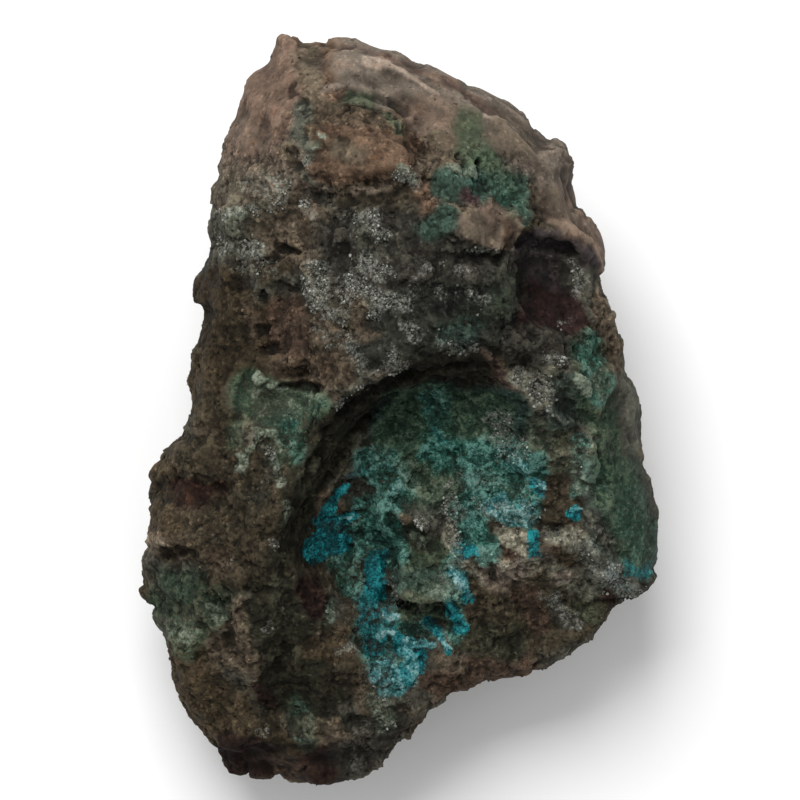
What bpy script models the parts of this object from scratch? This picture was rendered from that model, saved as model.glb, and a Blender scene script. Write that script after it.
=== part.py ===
"""A chrysocolla specimen: one rough lump of copper ore, lying on the broad fracture face of its back.

The lump is made as it was broken. A blank takes the specimen's outline, with a belt at its widest
level. Fracture planes knock the crown and the keel off it. Cutters scoop out the great hollow, the
scallop beside it and the round pit. The surface is then evened, ledges, ridges and crags are
raised on it, and it is cut flat where it rests. Lengths are millimetres in the tables and metres
in the mesh. X runs across the specimen, Y along it and Z up from the face it rests on.
"""

import math
from collections import namedtuple

import bmesh
import bpy
import numpy as np
from mathutils import Euler, Matrix, Vector, geometry, noise

MM = 0.001

# The widest outline seen from above, clockwise from the blunt upper tip.
OUTLINE = [
    (-15.3, 46.2), (-13.4, 46.5), (-11.2, 45.7), (-8.1, 46.6), (-4.5, 45.9), (0.0, 44.5),
    (1.9, 43.3), (7.1, 41.6), (13.5, 38.4), (16.4, 36.1), (17.3, 34.3), (20.0, 33.6),
    (21.2, 32.4), (21.2, 29.0), (22.5, 25.6), (25.0, 21.8), (25.7, 20.0), (25.0, 17.4),
    (26.5, 13.1), (27.9, 7.9), (28.0, 5.6), (29.8, 2.1), (30.3, -3.1), (30.4, -6.0),
    (31.6, -9.2), (32.2, -11.4), (32.0, -16.2), (32.1, -19.0), (31.5, -21.8), (30.3, -22.9),
    (27.0, -24.2), (25.8, -26.0), (23.7, -28.5), (21.8, -30.0), (17.1, -32.7), (13.2, -33.5),
    (9.0, -34.2), (5.8, -36.1), (3.9, -37.0), (2.9, -38.6), (-1.0, -42.9), (-3.2, -45.4),
    (-4.4, -46.1), (-10.0, -46.6), (-14.4, -46.0), (-19.5, -46.1), (-21.2, -45.0),
    (-23.4, -41.9), (-25.6, -39.4), (-27.1, -36.8), (-28.2, -33.0), (-29.3, -29.0),
    (-31.2, -25.0), (-32.2, -21.6), (-32.1, -18.8), (-31.3, -13.2), (-31.5, -10.6),
    (-30.6, -7.0), (-29.3, -5.0), (-27.2, -3.4), (-26.2, -0.3), (-25.6, 1.3), (-26.4, 3.8),
    (-26.2, 6.2), (-24.5, 11.8), (-25.6, 14.3), (-25.8, 16.2), (-23.4, 18.8), (-24.0, 22.0),
    (-23.3, 26.2), (-23.5, 28.1), (-21.0, 35.0), (-19.6, 40.8), (-18.4, 42.0), (-16.5, 43.3),
]
OUTLINE_SIDES = 180
# Away from the belt the outline's small corners fade out.
EVENED_SIDES = 9
SOFTENING = 3.0
# The belt's height wanders by this much, over this distance.
BELT_WANDER, BELT_WANDER_SIZE = 3.0, 16.0

# The belt is the level of that outline. It climbs towards the upper end.
BELT_HEIGHT = 18.0
BELT_CLIMB = 0.15
CROWN_HEIGHT = 50.0
# How the blank draws in away from the belt: share of the way to the base or the crown, inset.
KEEL_PROFILE = [(1.12, 10.5), (1.0, 9.0), (0.85, 6.4), (0.6, 3.4), (0.3, 1.0)]
CROWN_PROFILE = [(0.0, 0.0), (0.1, 0.3), (0.25, 1.3), (0.5, 3.9), (0.75, 7.4), (1.0, 11.5)]

# Fracture planes. Each crown plane is a height above the base at a place, and how it climbs
# along X and Y. What stands above it was knocked off.
Slope = namedtuple("Slope", "name place height climb")
HOLLOW_FLOOR = Slope("hollow_floor", (4.0, 3.0), 29.6, (0.1, 0.29))
CROWN_FRACTURES = [
    Slope("ledge_top", (1, 17), 40.5, (0.05, -0.02)),
    Slope("upper_face", (4, 34.5), 36.0, (-0.22, -0.72)),
    Slope("upper_left_face", (-16, 38), 31.5, (0.52, -0.38)),
    Slope("left_shoulder", (-18, 20), 34.0, (0.42, 0.04)),
    Slope("left_flank", (-22, -15), 30.0, (0.5, 0.2)),
    Slope("lower_end", (-12, -35), 22.5, (0.08, 0.52)),
    Slope("lower_right_face", (15, -25), 21.5, (-0.22, 0.48)),
    Slope("right_slope", (27, -10), 24.0, (-0.95, 0.12)),
    Slope("upper_right_face", (22, 25), 31.0, (-0.6, -0.22)),
    Slope("upper_rim", (5, 40.3), 31.4, (-0.6, -1.3)),
    Slope("lower_tip", (-20, -42), 17.0, (0.55, 1.0)),
    Slope("right_rim", (29.5, -14), 21.5, (-1.9, 0.1)),
    Slope("left_rim", (-29, -16), 26.0, (1.5, 0.3)),
]
# The underside's planes: a point on each, and which way it faces.
Break = namedtuple("Break", "name point facing")
KEEL_FRACTURES = [
    Break("left_keel", (-25, -8, 8), (-1.0, 0.1, -0.85)),
    Break("left_upper_keel", (-20, 26, 9), (-1.0, 0.25, -0.7)),
    Break("upper_keel", (-2, 40, 9), (-0.1, 1.0, -0.75)),
    Break("right_upper_keel", (19, 22, 8), (1.0, 0.45, -0.8)),
    Break("right_keel", (26, -12, 7), (1.0, -0.1, -0.9)),
    Break("lower_right_keel", (13, -29, 6), (0.55, -1.0, -0.8)),
    Break("lower_keel", (-12, -42, 5), (0.1, -1.0, -0.9)),
]

# Smaller hollows: the ellipsoid that scoops each one out, by centre, half axes and tilt in degrees.
Scoop = namedtuple("Scoop", "name centre half_axes tilt")
SCOOPS = [
    Scoop("green_scallop", (-14.8, -2.6, 36.2), (6.2, 7.6, 5.0), (0, 14, -8)),
    Scoop("dark_pit", (19.6, 15.3, 35.4), (5.9, 6.2, 5.4), (0, 32, 0)),
]
SCOOP_SUBDIVISIONS = 4

# The great hollow: its rim seen from above, the slope of its floor, and the shape of its wall as
# (share of the way from the middle to the rim, height above the floor).
HOLLOW_RIM = [
    (-14.8, -18.6), (-14.6, -15.0), (-13.8, -10.8), (-12.0, -6.2), (-10.0, -1.6),
    (-7.2, 1.6), (-3.8, 3.9), (0.0, 5.4), (3.8, 6.2), (7.4, 6.5), (10.4, 6.3),
    (12.8, 4.8), (15.4, 2.0), (17.6, -1.4), (19.2, -6.0), (20.0, -11.0), (19.6, -16.0),
    (15.4, -19.4), (11.0, -23.5), (9.4, -30.0), (7.6, -38.0), (1.0, -42.0), (-5.5, -37.0),
    (-8.6, -28.6), (-12.6, -22.6),
]
HOLLOW_MIDDLE = (5.6, -10.0)
HOLLOW_WALL = [(0.35, 0.0), (0.62, 0.4), (0.76, 1.4), (0.85, 3.6), (0.93, 6.6), (1.0, 9.8), (1.03, 22.0)]


def clear_scene():
    for obj in list(bpy.data.objects):
        bpy.data.objects.remove(obj, do_unlink=True)


def outline_points():
    """The outline at OUTLINE_SIDES even directions about the axis."""
    corners = np.array(OUTLINE)
    angles = np.unwrap(np.arctan2(corners[:, 1], corners[:, 0]))
    order = np.argsort(angles)
    angles, corners = angles[order], corners[order]
    wrapped = np.concatenate([angles - 2 * math.pi, angles, angles + 2 * math.pi])
    around = np.concatenate([corners] * 3)
    directions = np.linspace(-math.pi, math.pi, OUTLINE_SIDES, endpoint=False)
    x = np.interp(directions, wrapped, around[:, 0])
    y = np.interp(directions, wrapped, around[:, 1])
    return np.stack([x, y], axis=1)


def evened(points):
    """The closed outline with each point moved to the mean of its neighbours."""
    shifts = range(-EVENED_SIDES, EVENED_SIDES + 1)
    return np.mean([np.roll(points, shift, axis=0) for shift in shifts], axis=0)


def belt_height(x, y):
    wander = noise.noise(Vector((x, y, 0)) / BELT_WANDER_SIZE) * BELT_WANDER
    return BELT_HEIGHT + BELT_CLIMB * y + wander


def make_blank():
    """The lump before anything broke off it: the outline lofted through its inset levels."""
    outline = outline_points()
    soft = evened(outline)
    levels = [(-share, inset) for share, inset in KEEL_PROFILE] + CROWN_PROFILE
    blank = bmesh.new()
    rings = []
    for share, inset in levels:
        softness = min(1.0, abs(share) * SOFTENING)
        level = outline * (1 - softness) + soft * softness
        level *= 1 - inset / np.linalg.norm(level, axis=1, keepdims=True)
        ring = []
        for (x, y), (belt_x, belt_y) in zip(level, outline):
            belt = belt_height(belt_x, belt_y)
            reach = belt if share < 0 else CROWN_HEIGHT - belt
            ring.append(blank.verts.new(Vector((x, y, belt + share * reach)) * MM))
        rings.append(ring)
    for lower, upper in zip(rings, rings[1:]):
        for i in range(OUTLINE_SIDES):
            j = (i + 1) % OUTLINE_SIDES
            blank.faces.new((lower[i], lower[j], upper[j], upper[i]))
    blank.faces.new(rings[0][::-1])
    blank.faces.new(rings[-1])
    return blank


def knock_off(lump, point, facing):
    """Removes what lies beyond a plane and closes the wound with one flat face."""
    parts = lump.verts[:] + lump.edges[:] + lump.faces[:]
    cut = bmesh.ops.bisect_plane(
        lump, geom=parts, plane_co=point, plane_no=facing, clear_outer=True
    )
    rim = [part for part in cut["geom_cut"] if isinstance(part, bmesh.types.BMEdge)]
    bmesh.ops.holes_fill(lump, edges=rim)


def break_faces(lump):
    for plane in CROWN_FRACTURES:
        point = Vector((*plane.place, plane.height)) * MM
        climb_x, climb_y = plane.climb
        knock_off(lump, point, Vector((-climb_x, -climb_y, 1)).normalized())
    for plane in KEEL_FRACTURES:
        knock_off(lump, Vector(plane.point) * MM, Vector(plane.facing).normalized())


def add_scoop(scoop, lump):
    """An ellipsoid that a Boolean takes out of the lump, left in the scene as a guide."""
    ball = bmesh.new()
    bmesh.ops.create_icosphere(ball, subdivisions=SCOOP_SUBDIVISIONS, radius=1.0)
    mesh = bpy.data.meshes.new(scoop.name)
    size = Matrix.Diagonal((*(Vector(scoop.half_axes) * MM), 1.0))
    tilt = Euler([math.radians(a) for a in scoop.tilt]).to_matrix().to_4x4()
    ball.transform(Matrix.Translation(Vector(scoop.centre) * MM) @ tilt @ size)
    ball.to_mesh(mesh)
    ball.free()
    cut(lump, bpy.data.objects.new(scoop.name, mesh))


# The surface is evened to this step, sculpted, and then thinned to a share of its triangles.
EVEN_STEP = 0.85
KEPT_SHARE = 0.165

# Ledges, ridges and dents of the crown: the line each one follows seen from above, how far it
# reaches to each side, how wide its edge is, and how far it stands out. A dent's rise is negative.
Relief = namedtuple("Relief", "name line reach edge rise")
CROWN_RELIEF = [
    Relief("lip_plate", [(-11.0, 33.4), (-6.0, 34.0), (-3.4, 32.4)], 3.4, 2.4, 1.1),
    Relief("plate_end", [(0.6, 34.5), (1.2, 32.4), (0.0, 30.4), (1.8, 28.4)], 0.4, 1.3, 0.7),
    Relief("plate_edge", [(1.4, 28.8), (-2.4, 29.6), (-5.4, 27.6), (-9.0, 29.2)], 0.4, 1.4, 0.5),
    Relief("plate_back", [(-12.0, 37.0), (-14.0, 31.0)], 1.5, 4.0, 0.7),
    Relief("plate_foot", [(-12.0, 25.0), (-4.0, 25.3), (3.0, 26.2)], 1.6, 1.8, -0.7),
    Relief("plate_end_groove", [(1.2, 37.0), (3.4, 32.0), (4.4, 27.0)], 0.7, 1.2, -1.0),
    Relief("face_step", [(-10.8, 44.5), (-7.0, 40.0), (0.0, 37.5)], 0.5, 1.5, -0.6),
    Relief("face_rim", [(-6.0, 45.4), (2.0, 42.6), (8.0, 40.3), (15.0, 36.4)], 0.5, 0.9, 0.5),
    Relief("brown_block", [(8.9, 22.6), (12.4, 22.8)], 2.3, 1.1, 1.3),
    Relief("knob", [(19.6, 32.0), (20.0, 30.6)], 1.0, 2.0, 1.0),
    Relief("pit_rim", [(14.6, 22.2), (19.0, 22.6), (22.5, 20.4)], 0.5, 1.2, 1.1),
    Relief("pit_side", [(24.2, 17.6), (25.0, 14.5), (24.0, 11.3)], 0.5, 1.0, 0.9),
    Relief("pit_near_side", [(12.4, 20.0), (11.8, 14.0), (14.0, 9.0)], 0.4, 1.6, 0.6),
    Relief("ledge_lip", [(-8.6, 2.2), (-5.0, 5.4), (0.4, 7.6), (7.4, 9.0), (11.0, 9.0)], 0.4, 1.5, 0.8),
    Relief("grey_lump", [(19.8, 4.6), (22.6, 2.6)], 2.4, 1.4, 1.2),
    Relief("lump_gap", [(15.8, 6.0), (17.0, 1.0)], 0.6, 1.6, -0.7),
    Relief("side_ridge", [(24.0, -2.0), (23.0, -8.0), (23.6, -14.0), (25.0, -20.0)], 0.8, 1.8, 1.0),
    Relief("hollow_lump", [(1.2, -12.5), (3.0, -17.0), (3.6, -21.6)], 3.0, 1.8, 1.7),
    Relief("rock_island", [(-6.4, -10.2), (-5.4, -12.6)], 1.0, 1.0, 0.8),
    Relief("crevice", [(-1.0, -24.2), (5.4, -25.6)], 0.6, 0.9, -1.6),
    Relief("tan_step", [(9.0, -18.2), (14.0, -17.2), (20.0, -16.5)], 1.3, 1.4, 1.2),
    Relief("lower_dip", [(12.0, -24.0), (18.0, -25.0)], 2.6, 2.8, -0.8),
    Relief("brown_step", [(17.8, -12.2), (19.4, -12.0)], 1.6, 1.1, 0.9),
    Relief("scallop_rim", [(-9.0, 0.2), (-12.0, -5.0), (-14.2, -10.5)], 0.5, 1.7, 0.9),
    Relief("scallop_brow", [(-16.0, 4.1), (-12.8, 4.8), (-10.6, 3.4)], 0.4, 0.9, -0.8),
    Relief("red_dip", [(-28.5, -9.5), (-22.5, -10.5)], 1.1, 2.2, -0.8),
    Relief("pink_ridge", [(-30.5, -14.5), (-24.5, -15.4)], 0.9, 2.0, 0.9),
    Relief("green_dip", [(-28.0, -21.0), (-25.0, -25.5)], 2.2, 2.7, -0.9),
    Relief("left_ridge", [(-19.0, -15.0), (-17.6, -22.0), (-18.4, -30.0)], 1.2, 2.4, 0.9),
    Relief("left_trough", [(-12.4, -22.0), (-10.6, -28.0)], 1.2, 2.8, -0.9),
    Relief("tip_trough", [(-14.0, -31.0), (-13.0, -38.0)], 1.4, 3.2, -0.8),
    Relief("tip_ledge", [(-22.0, -39.6), (-15.0, -41.4), (-8.0, -40.6)], 0.5, 1.8, 0.8),
    Relief("left_druse", [(-22.6, 25.0), (-19.4, 23.6)], 1.4, 1.4, 0.8),
    Relief("upper_druse", [(-18.0, 27.6), (-15.6, 26.0)], 1.3, 1.3, 0.8),
    Relief("waist_druse", [(-18.0, 17.6), (-16.6, 15.4)], 1.1, 1.3, 0.6),
    Relief("ledge_druse", [(-10.6, 17.0), (-8.8, 9.6)], 1.2, 1.5, 0.7),
    Relief("middle_druse", [(-4.8, 23.0), (-3.2, 17.0)], 1.1, 1.5, 0.6),
    Relief("lower_druse", [(-3.4, 14.4), (2.4, 12.0)], 1.2, 1.5, 0.6),
    Relief("ledge_gully", [(-13.4, 22.0), (-14.0, 12.0), (-13.0, 6.0)], 0.8, 2.4, -0.9),
    Relief("teal_gully", [(2.0, 22.0), (6.4, 16.0), (6.0, 12.0)], 0.7, 2.2, -0.7),
]
# How far the edges of all these wander, and over what distance.
WANDER, WANDER_SIZE = 2.0, 4.0
# Faces that broke clean stay smoother than the rest: a line each follows, its reach and its edge.
Clean = namedtuple("Clean", "name line reach edge")
CLEAN_FACES = [
    Clean("upper_face", [(-4.0, 41.5), (6.0, 37.5), (13.0, 33.0)], 3.5, 3.0),
    Clean("upper_left_face", [(-15.0, 42.0), (-16.5, 36.0)], 3.0, 3.0),
    Clean("upper_right_face", [(18.5, 27.0), (23.5, 20.5)], 2.5, 2.5),
    Clean("right_slope", [(28.0, 2.0), (28.5, -14.0)], 2.5, 2.5),
    Clean("green_scallop", [(-15.6, 0.4), (-13.4, -6.0)], 2.6, 2.4),
    Clean("dark_pit", [(19.0, 15.3), (19.4, 15.3)], 4.0, 1.6),
]
CLEAN_SHARE = 0.35

# Roughness of the broken rock: the size of a swell, chip or crag, and how far it moves the
# surface. A chip is a flat flake, tilted its own way. Each octave repeats a form at half the size.
SWELL_SIZE, SWELL_DEPTH, SWELL_OCTAVES = 14.0, 0.8, 3
CHIP_SIZE, CHIP_TILT = 4.8, 0.45
CRAG_SIZE, CRAG_DEPTH, CRAG_OCTAVES = 4.4, 0.36, 4
CRAG_SHARPNESS, CRAG_LEVEL = 1.5, 0.8
EACH_OCTAVE = 2.0
# A vector of noise takes its three parts this far apart.
NOISE_SHIFTS = [Vector((0, 0, 0)), Vector((31.4, 17.2, 5.9)), Vector((-12.7, 43.1, 27.3))]
# How much of the roughness the upright belt and the underside keep.
BELT_SHARE = 0.75
KEEL_SHARE = 0.6
# A face counts wholly as crown or underside once its normal leans this far from level.
FULL_LEAN = 0.4

# The face it rests on is laid in triangles about this far across. Any face with more sides than
# a cut triangle is such a face. The mode that keeps the triangles inside the rim is the number 1.
BASE_GRID = 6.0
BASE_MERGE = 0.0001
FEW_SIDES = 4
INSIDE_ONLY = 1

STONE_COLOUR = (0.075, 0.058, 0.046, 1.0)
STONE_ROUGHNESS = 0.75


def cut(lump, cutter):
    """Takes the cutter's solid out of the lump."""
    cutter.hide_render = True
    cutter.display_type = "WIRE"
    bpy.context.scene.collection.objects.link(cutter)
    removal = lump.modifiers.new(cutter.name, "BOOLEAN")
    removal.operation = "DIFFERENCE"
    removal.solver = "EXACT"
    removal.object = cutter


def add_hollow(lump):
    """Takes out the great hollow: rings from its floor up its wall, closed over the lump."""
    (x0, y0), (climb_x, climb_y) = HOLLOW_FLOOR.place, HOLLOW_FLOOR.climb
    bowl = bmesh.new()
    rings = []
    for share, height in HOLLOW_WALL:
        ring = []
        for rim_x, rim_y in HOLLOW_RIM:
            x = HOLLOW_MIDDLE[0] + share * (rim_x - HOLLOW_MIDDLE[0])
            y = HOLLOW_MIDDLE[1] + share * (rim_y - HOLLOW_MIDDLE[1])
            z = HOLLOW_FLOOR.height + climb_x * (x - x0) + climb_y * (y - y0) + height
            ring.append(bowl.verts.new(Vector((x, y, z)) * MM))
        rings.append(ring)
    for inner, outer in zip(rings, rings[1:]):
        for i, vertex in enumerate(inner):
            bowl.faces.new((vertex, inner[i - 1], outer[i - 1], outer[i]))
    bowl.faces.new(rings[0])
    bowl.faces.new(rings[-1][::-1])
    bmesh.ops.recalc_face_normals(bowl, faces=bowl.faces[:])
    mesh = bpy.data.meshes.new("great_hollow")
    bowl.to_mesh(mesh)
    bowl.free()
    cut(lump, bpy.data.objects.new("great_hollow", mesh))


def line_distance(places, line):
    """Each place's distance from a line of points, both seen from above."""
    nearest = np.full(len(places), np.inf)
    for start, end in zip(line, line[1:]):
        start, along = np.array(start), np.subtract(end, start)
        share = np.clip((places - start) @ along / (along @ along), 0, 1)
        nearest = np.minimum(nearest, np.linalg.norm(places - start - share[:, None] * along, axis=1))
    return nearest


def falloff(distance, reach, edge):
    """1 within reach, 0 beyond the edge, and smooth between."""
    share = np.clip((reach + edge - distance) / edge, 0, 1)
    return share * share * (3 - 2 * share)


def noise_vector(place):
    """A smooth vector that differs from place to place, each part from -1 to 1."""
    return Vector([noise.noise(place + shift) for shift in NOISE_SHIFTS])


def roughness(place):
    """How far broken rock stands out at a place: slow swells, flat tilted chips and fine crags."""
    swell = noise.fractal(place / SWELL_SIZE, 1.0, EACH_OCTAVE, SWELL_OCTAVES)
    chip = noise.voronoi(place / CHIP_SIZE)[1][0]
    lean = noise_vector(chip * EACH_OCTAVE)
    tilt = (place / CHIP_SIZE - chip).dot(lean) * CHIP_SIZE
    crag = noise.ridged_multi_fractal(
        place / CRAG_SIZE, 1.0, EACH_OCTAVE, CRAG_OCTAVES, CRAG_LEVEL, CRAG_SHARPNESS
    )
    return swell * SWELL_DEPTH + tilt * CHIP_TILT + (crag - CRAG_LEVEL) * CRAG_DEPTH


def wandered(places):
    """The places seen from above, each moved a little so that edges drawn by them wander."""
    moves = [noise_vector(Vector(place) / WANDER_SIZE) * WANDER for place in places]
    return places[:, :2] + np.array(moves)[:, :2]


def sculpt(mesh):
    """Raises the crown's relief and the rock's roughness on an even surface."""
    count = len(mesh.vertices)
    places = np.empty(count * 3, np.float32)
    mesh.vertices.foreach_get("co", places)
    places = places.reshape(-1, 3).astype(float) / MM
    facing = np.array([vertex.normal for vertex in mesh.vertices])
    on_crown = np.clip(facing[:, 2] / FULL_LEAN, 0, 1)
    on_keel = np.clip(-facing[:, 2] / FULL_LEAN, 0, 1)
    plan = wandered(places)
    rise = np.zeros(count)
    for relief in CROWN_RELIEF:
        near = falloff(line_distance(plan, relief.line), relief.reach, relief.edge)
        rise += near * on_crown * relief.rise
    clean = np.zeros(count)
    for face in CLEAN_FACES:
        near = falloff(line_distance(plan, face.line), face.reach, face.edge)
        clean = np.maximum(clean, near * on_crown)
    rough = np.array([roughness(Vector(place)) for place in places])
    rough *= 1 - clean * (1 - CLEAN_SHARE)
    rough *= 1 - (1 - np.abs(facing[:, 2])) * (1 - BELT_SHARE)
    rough *= 1 - on_keel * (1 - KEEL_SHARE)
    places += facing * (rise + rough)[:, None]
    mesh.vertices.foreach_set("co", (places * MM).ravel())
    mesh.update()


def apply_modifiers(obj):
    """Replaces the object's mesh by what its modifiers make of it."""
    evaluated = obj.evaluated_get(bpy.context.evaluated_depsgraph_get())
    made = bpy.data.meshes.new_from_object(evaluated)
    obj.modifiers.clear()
    obj.data = made


def even_surface(obj):
    even = obj.modifiers.new("even_surface", "REMESH")
    even.mode = "VOXEL"
    even.voxel_size = EVEN_STEP * MM
    apply_modifiers(obj)


def thin_out(obj):
    thin = obj.modifiers.new("thin_out", "DECIMATE")
    thin.ratio = KEPT_SHARE
    thin.use_collapse_triangulate = True
    apply_modifiers(obj)


def pave(lump, face):
    """Replaces a flat level face by even triangles, laid about points set out in a grid."""
    rim = face.verts[:]
    level = rim[0].co.z
    corners = [vertex.co.xy for vertex in rim]
    low = np.min(corners, axis=0)
    high = np.max(corners, axis=0)
    spacing = BASE_GRID * MM
    inner = []
    for x in np.arange(low[0], high[0], spacing):
        for y in np.arange(low[1], high[1], spacing):
            nearest = np.linalg.norm(np.subtract(corners, (x, y)), axis=1).min()
            if nearest > spacing / 2 and bmesh.geometry.intersect_face_point(face, (x, y, level)):
                inner.append(Vector((x, y)))
    points, _, triangles, origins, _, _ = geometry.delaunay_2d_cdt(
        corners + inner, [], [list(range(len(rim)))], INSIDE_ONLY, BASE_MERGE * MM
    )
    laid = []
    for point, origin in zip(points, origins):
        on_rim = origin[0] < len(rim)
        laid.append(rim[origin[0]] if on_rim else lump.verts.new((point.x, point.y, level)))
    lump.faces.remove(face)
    for first, second, third in triangles:
        lump.faces.new((laid[third], laid[second], laid[first]))


def flatten_base(obj):
    """Cuts the lump flat at the level it rests on."""
    lump = bmesh.new()
    lump.from_mesh(obj.data)
    knock_off(lump, Vector((0, 0, 0)), Vector((0, 0, -1)))
    for face in [face for face in lump.faces if len(face.verts) > FEW_SIDES]:
        pave(lump, face)
    bmesh.ops.triangulate(lump, faces=lump.faces[:])
    bmesh.ops.recalc_face_normals(lump, faces=lump.faces[:])
    lump.to_mesh(obj.data)
    lump.free()


def centre_on_base(obj):
    """Puts the middle of the object's box on the axis, with the face it rests on at zero."""
    corners = np.array([vertex.co for vertex in obj.data.vertices])
    low, high = corners.min(axis=0), corners.max(axis=0)
    middle = (low + high) / 2
    obj.data.transform(Matrix.Translation((-middle[0], -middle[1], -low[2])))


def stone_material():
    material = bpy.data.materials.new("stone")
    material.use_nodes = True
    surface = material.node_tree.nodes["Principled BSDF"].inputs
    surface["Base Color"].default_value = STONE_COLOUR
    surface["Roughness"].default_value = STONE_ROUGHNESS
    surface["Metallic"].default_value = 0.0
    return material


clear_scene()
blank = make_blank()
break_faces(blank)
mesh = bpy.data.meshes.new("specimen")
blank.to_mesh(mesh)
blank.free()
specimen = bpy.data.objects.new("specimen", mesh)
bpy.context.scene.collection.objects.link(specimen)
add_hollow(specimen)
for scoop in SCOOPS:
    add_scoop(scoop, specimen)
even_surface(specimen)
sculpt(specimen.data)
thin_out(specimen)
flatten_base(specimen)
centre_on_base(specimen)
specimen.data.materials.append(stone_material())
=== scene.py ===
"""A hand-sized piece of copper rock with blue-green chrysocolla, lying on its flat side."""

from collections import namedtuple

import bmesh
import bpy
import numpy as np
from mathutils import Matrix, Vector, noise


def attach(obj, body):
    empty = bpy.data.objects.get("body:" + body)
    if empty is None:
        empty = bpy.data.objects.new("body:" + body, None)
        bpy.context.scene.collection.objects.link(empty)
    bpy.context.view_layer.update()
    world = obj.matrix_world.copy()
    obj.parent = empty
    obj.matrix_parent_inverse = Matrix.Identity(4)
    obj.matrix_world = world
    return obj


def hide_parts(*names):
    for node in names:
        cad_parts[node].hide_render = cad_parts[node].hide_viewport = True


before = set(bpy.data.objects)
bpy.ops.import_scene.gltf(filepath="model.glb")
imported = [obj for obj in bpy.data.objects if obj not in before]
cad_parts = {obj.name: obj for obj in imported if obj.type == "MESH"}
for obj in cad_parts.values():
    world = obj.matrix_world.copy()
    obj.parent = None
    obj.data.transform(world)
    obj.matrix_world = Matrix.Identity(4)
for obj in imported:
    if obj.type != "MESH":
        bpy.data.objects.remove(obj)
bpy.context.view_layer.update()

# The table, the lamp and the eye. The stone lies on a plain white table and is looked down
# on from straight above. One broad soft lamp stands beyond its upper end, and pale walls all
# round fill the shadows.
MM = 0.001
EYE_PLACE = Vector((-0.20, 0.77, 573.6)) * MM
EYE_PLANE = 18 * MM
LENS = 200
SENSOR_WIDTH = 36
NEAREST, FARTHEST = 0.01, 20
LAMP_PLACE = Vector((-130, 420, 560)) * MM
LAMP_AIM = Vector((0, 0, 15)) * MM
LAMP_SIZE = 0.40
LAMP_POWER = 5.2
WALL_LIGHT = 0.60
TABLE_REACH = 3.0
TABLE_WHITE = 0.88
TABLE_ROUGHNESS = 0.9


def link(thing):
    bpy.context.scene.collection.objects.link(thing)
    return thing


eye = link(bpy.data.objects.new("eye", bpy.data.cameras.new("eye")))
eye.data.lens = LENS
eye.data.sensor_width = SENSOR_WIDTH
eye.data.clip_start, eye.data.clip_end = NEAREST, FARTHEST
eye.location = EYE_PLACE
bpy.context.scene.camera = eye

lamp = link(bpy.data.objects.new("lamp", bpy.data.lights.new("lamp", "AREA")))
lamp.data.energy = LAMP_POWER
lamp.data.size = LAMP_SIZE
lamp.location = LAMP_PLACE
lamp.rotation_euler = (LAMP_AIM - LAMP_PLACE).to_track_quat("-Z", "Y").to_euler()

walls = bpy.data.worlds.new("pale_walls")
walls.use_nodes = True
wall_light = walls.node_tree.nodes["Background"]
wall_light.inputs["Color"].default_value = (1, 1, 1, 1)
wall_light.inputs["Strength"].default_value = WALL_LIGHT
bpy.context.scene.world = walls
bpy.context.scene.view_settings.view_transform = "Standard"

table_mesh = bpy.data.meshes.new("table")
square = ((-1, -1), (1, -1), (1, 1), (-1, 1))
table_corners = [(x * TABLE_REACH, y * TABLE_REACH, 0) for x, y in square]
table_mesh.from_pydata(table_corners, [], [(0, 1, 2, 3)])
table_white = bpy.data.materials.new("table_white")
table_white.use_nodes = True
table_shader = table_white.node_tree.nodes["Principled BSDF"]
table_shader.inputs["Base Color"].default_value = (TABLE_WHITE, TABLE_WHITE, TABLE_WHITE, 1)
table_shader.inputs["Roughness"].default_value = TABLE_ROUGHNESS
table_shader.inputs["Specular IOR Level"].default_value = 0.0
table_mesh.materials.append(table_white)
link(bpy.data.objects.new("table", table_mesh))

# The body of the stone. The whole lump is one piece of broken copper rock, so its skin is
# one closed shell: the solid evened to fine faces, with the ledges, lips, pits and cracks
# that are too small for the solid worked into it.
SKIN_FACE = 0.31
SOFTENING_ROUNDS, SOFTENING_FACTOR = 11, 0.5
MERGED_WITHIN = 1e-7
# Edges stray sideways in waves, each given by its size and its stray.
RELIEF_WANDER = ((2.2, 0.45), (0.8, 0.18))
STRAY_SCALE = 1.6
# The relief and the growths fade out where the stone turns under, along an uneven line.
TURNING_UNDER = (-0.35, 0.15)
TURNING_WAVES, TURNING_STRAY = 5, 0.5
NOISE_SHIFTS = (
    Vector((31.7, 5.3, 11.9)),
    Vector((7.1, 43.9, 23.3)),
    Vector((17.9, 29.1, 53.7)),
)

# A stroke of relief follows a line, in mm, and rises by so much out to its reach.
Relief = namedtuple("Relief", "name line reach edge rise")


def listed(kind, *rows):
    """The rows of a table, each as one of its kind."""
    return [kind(*row) for row in rows]


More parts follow.
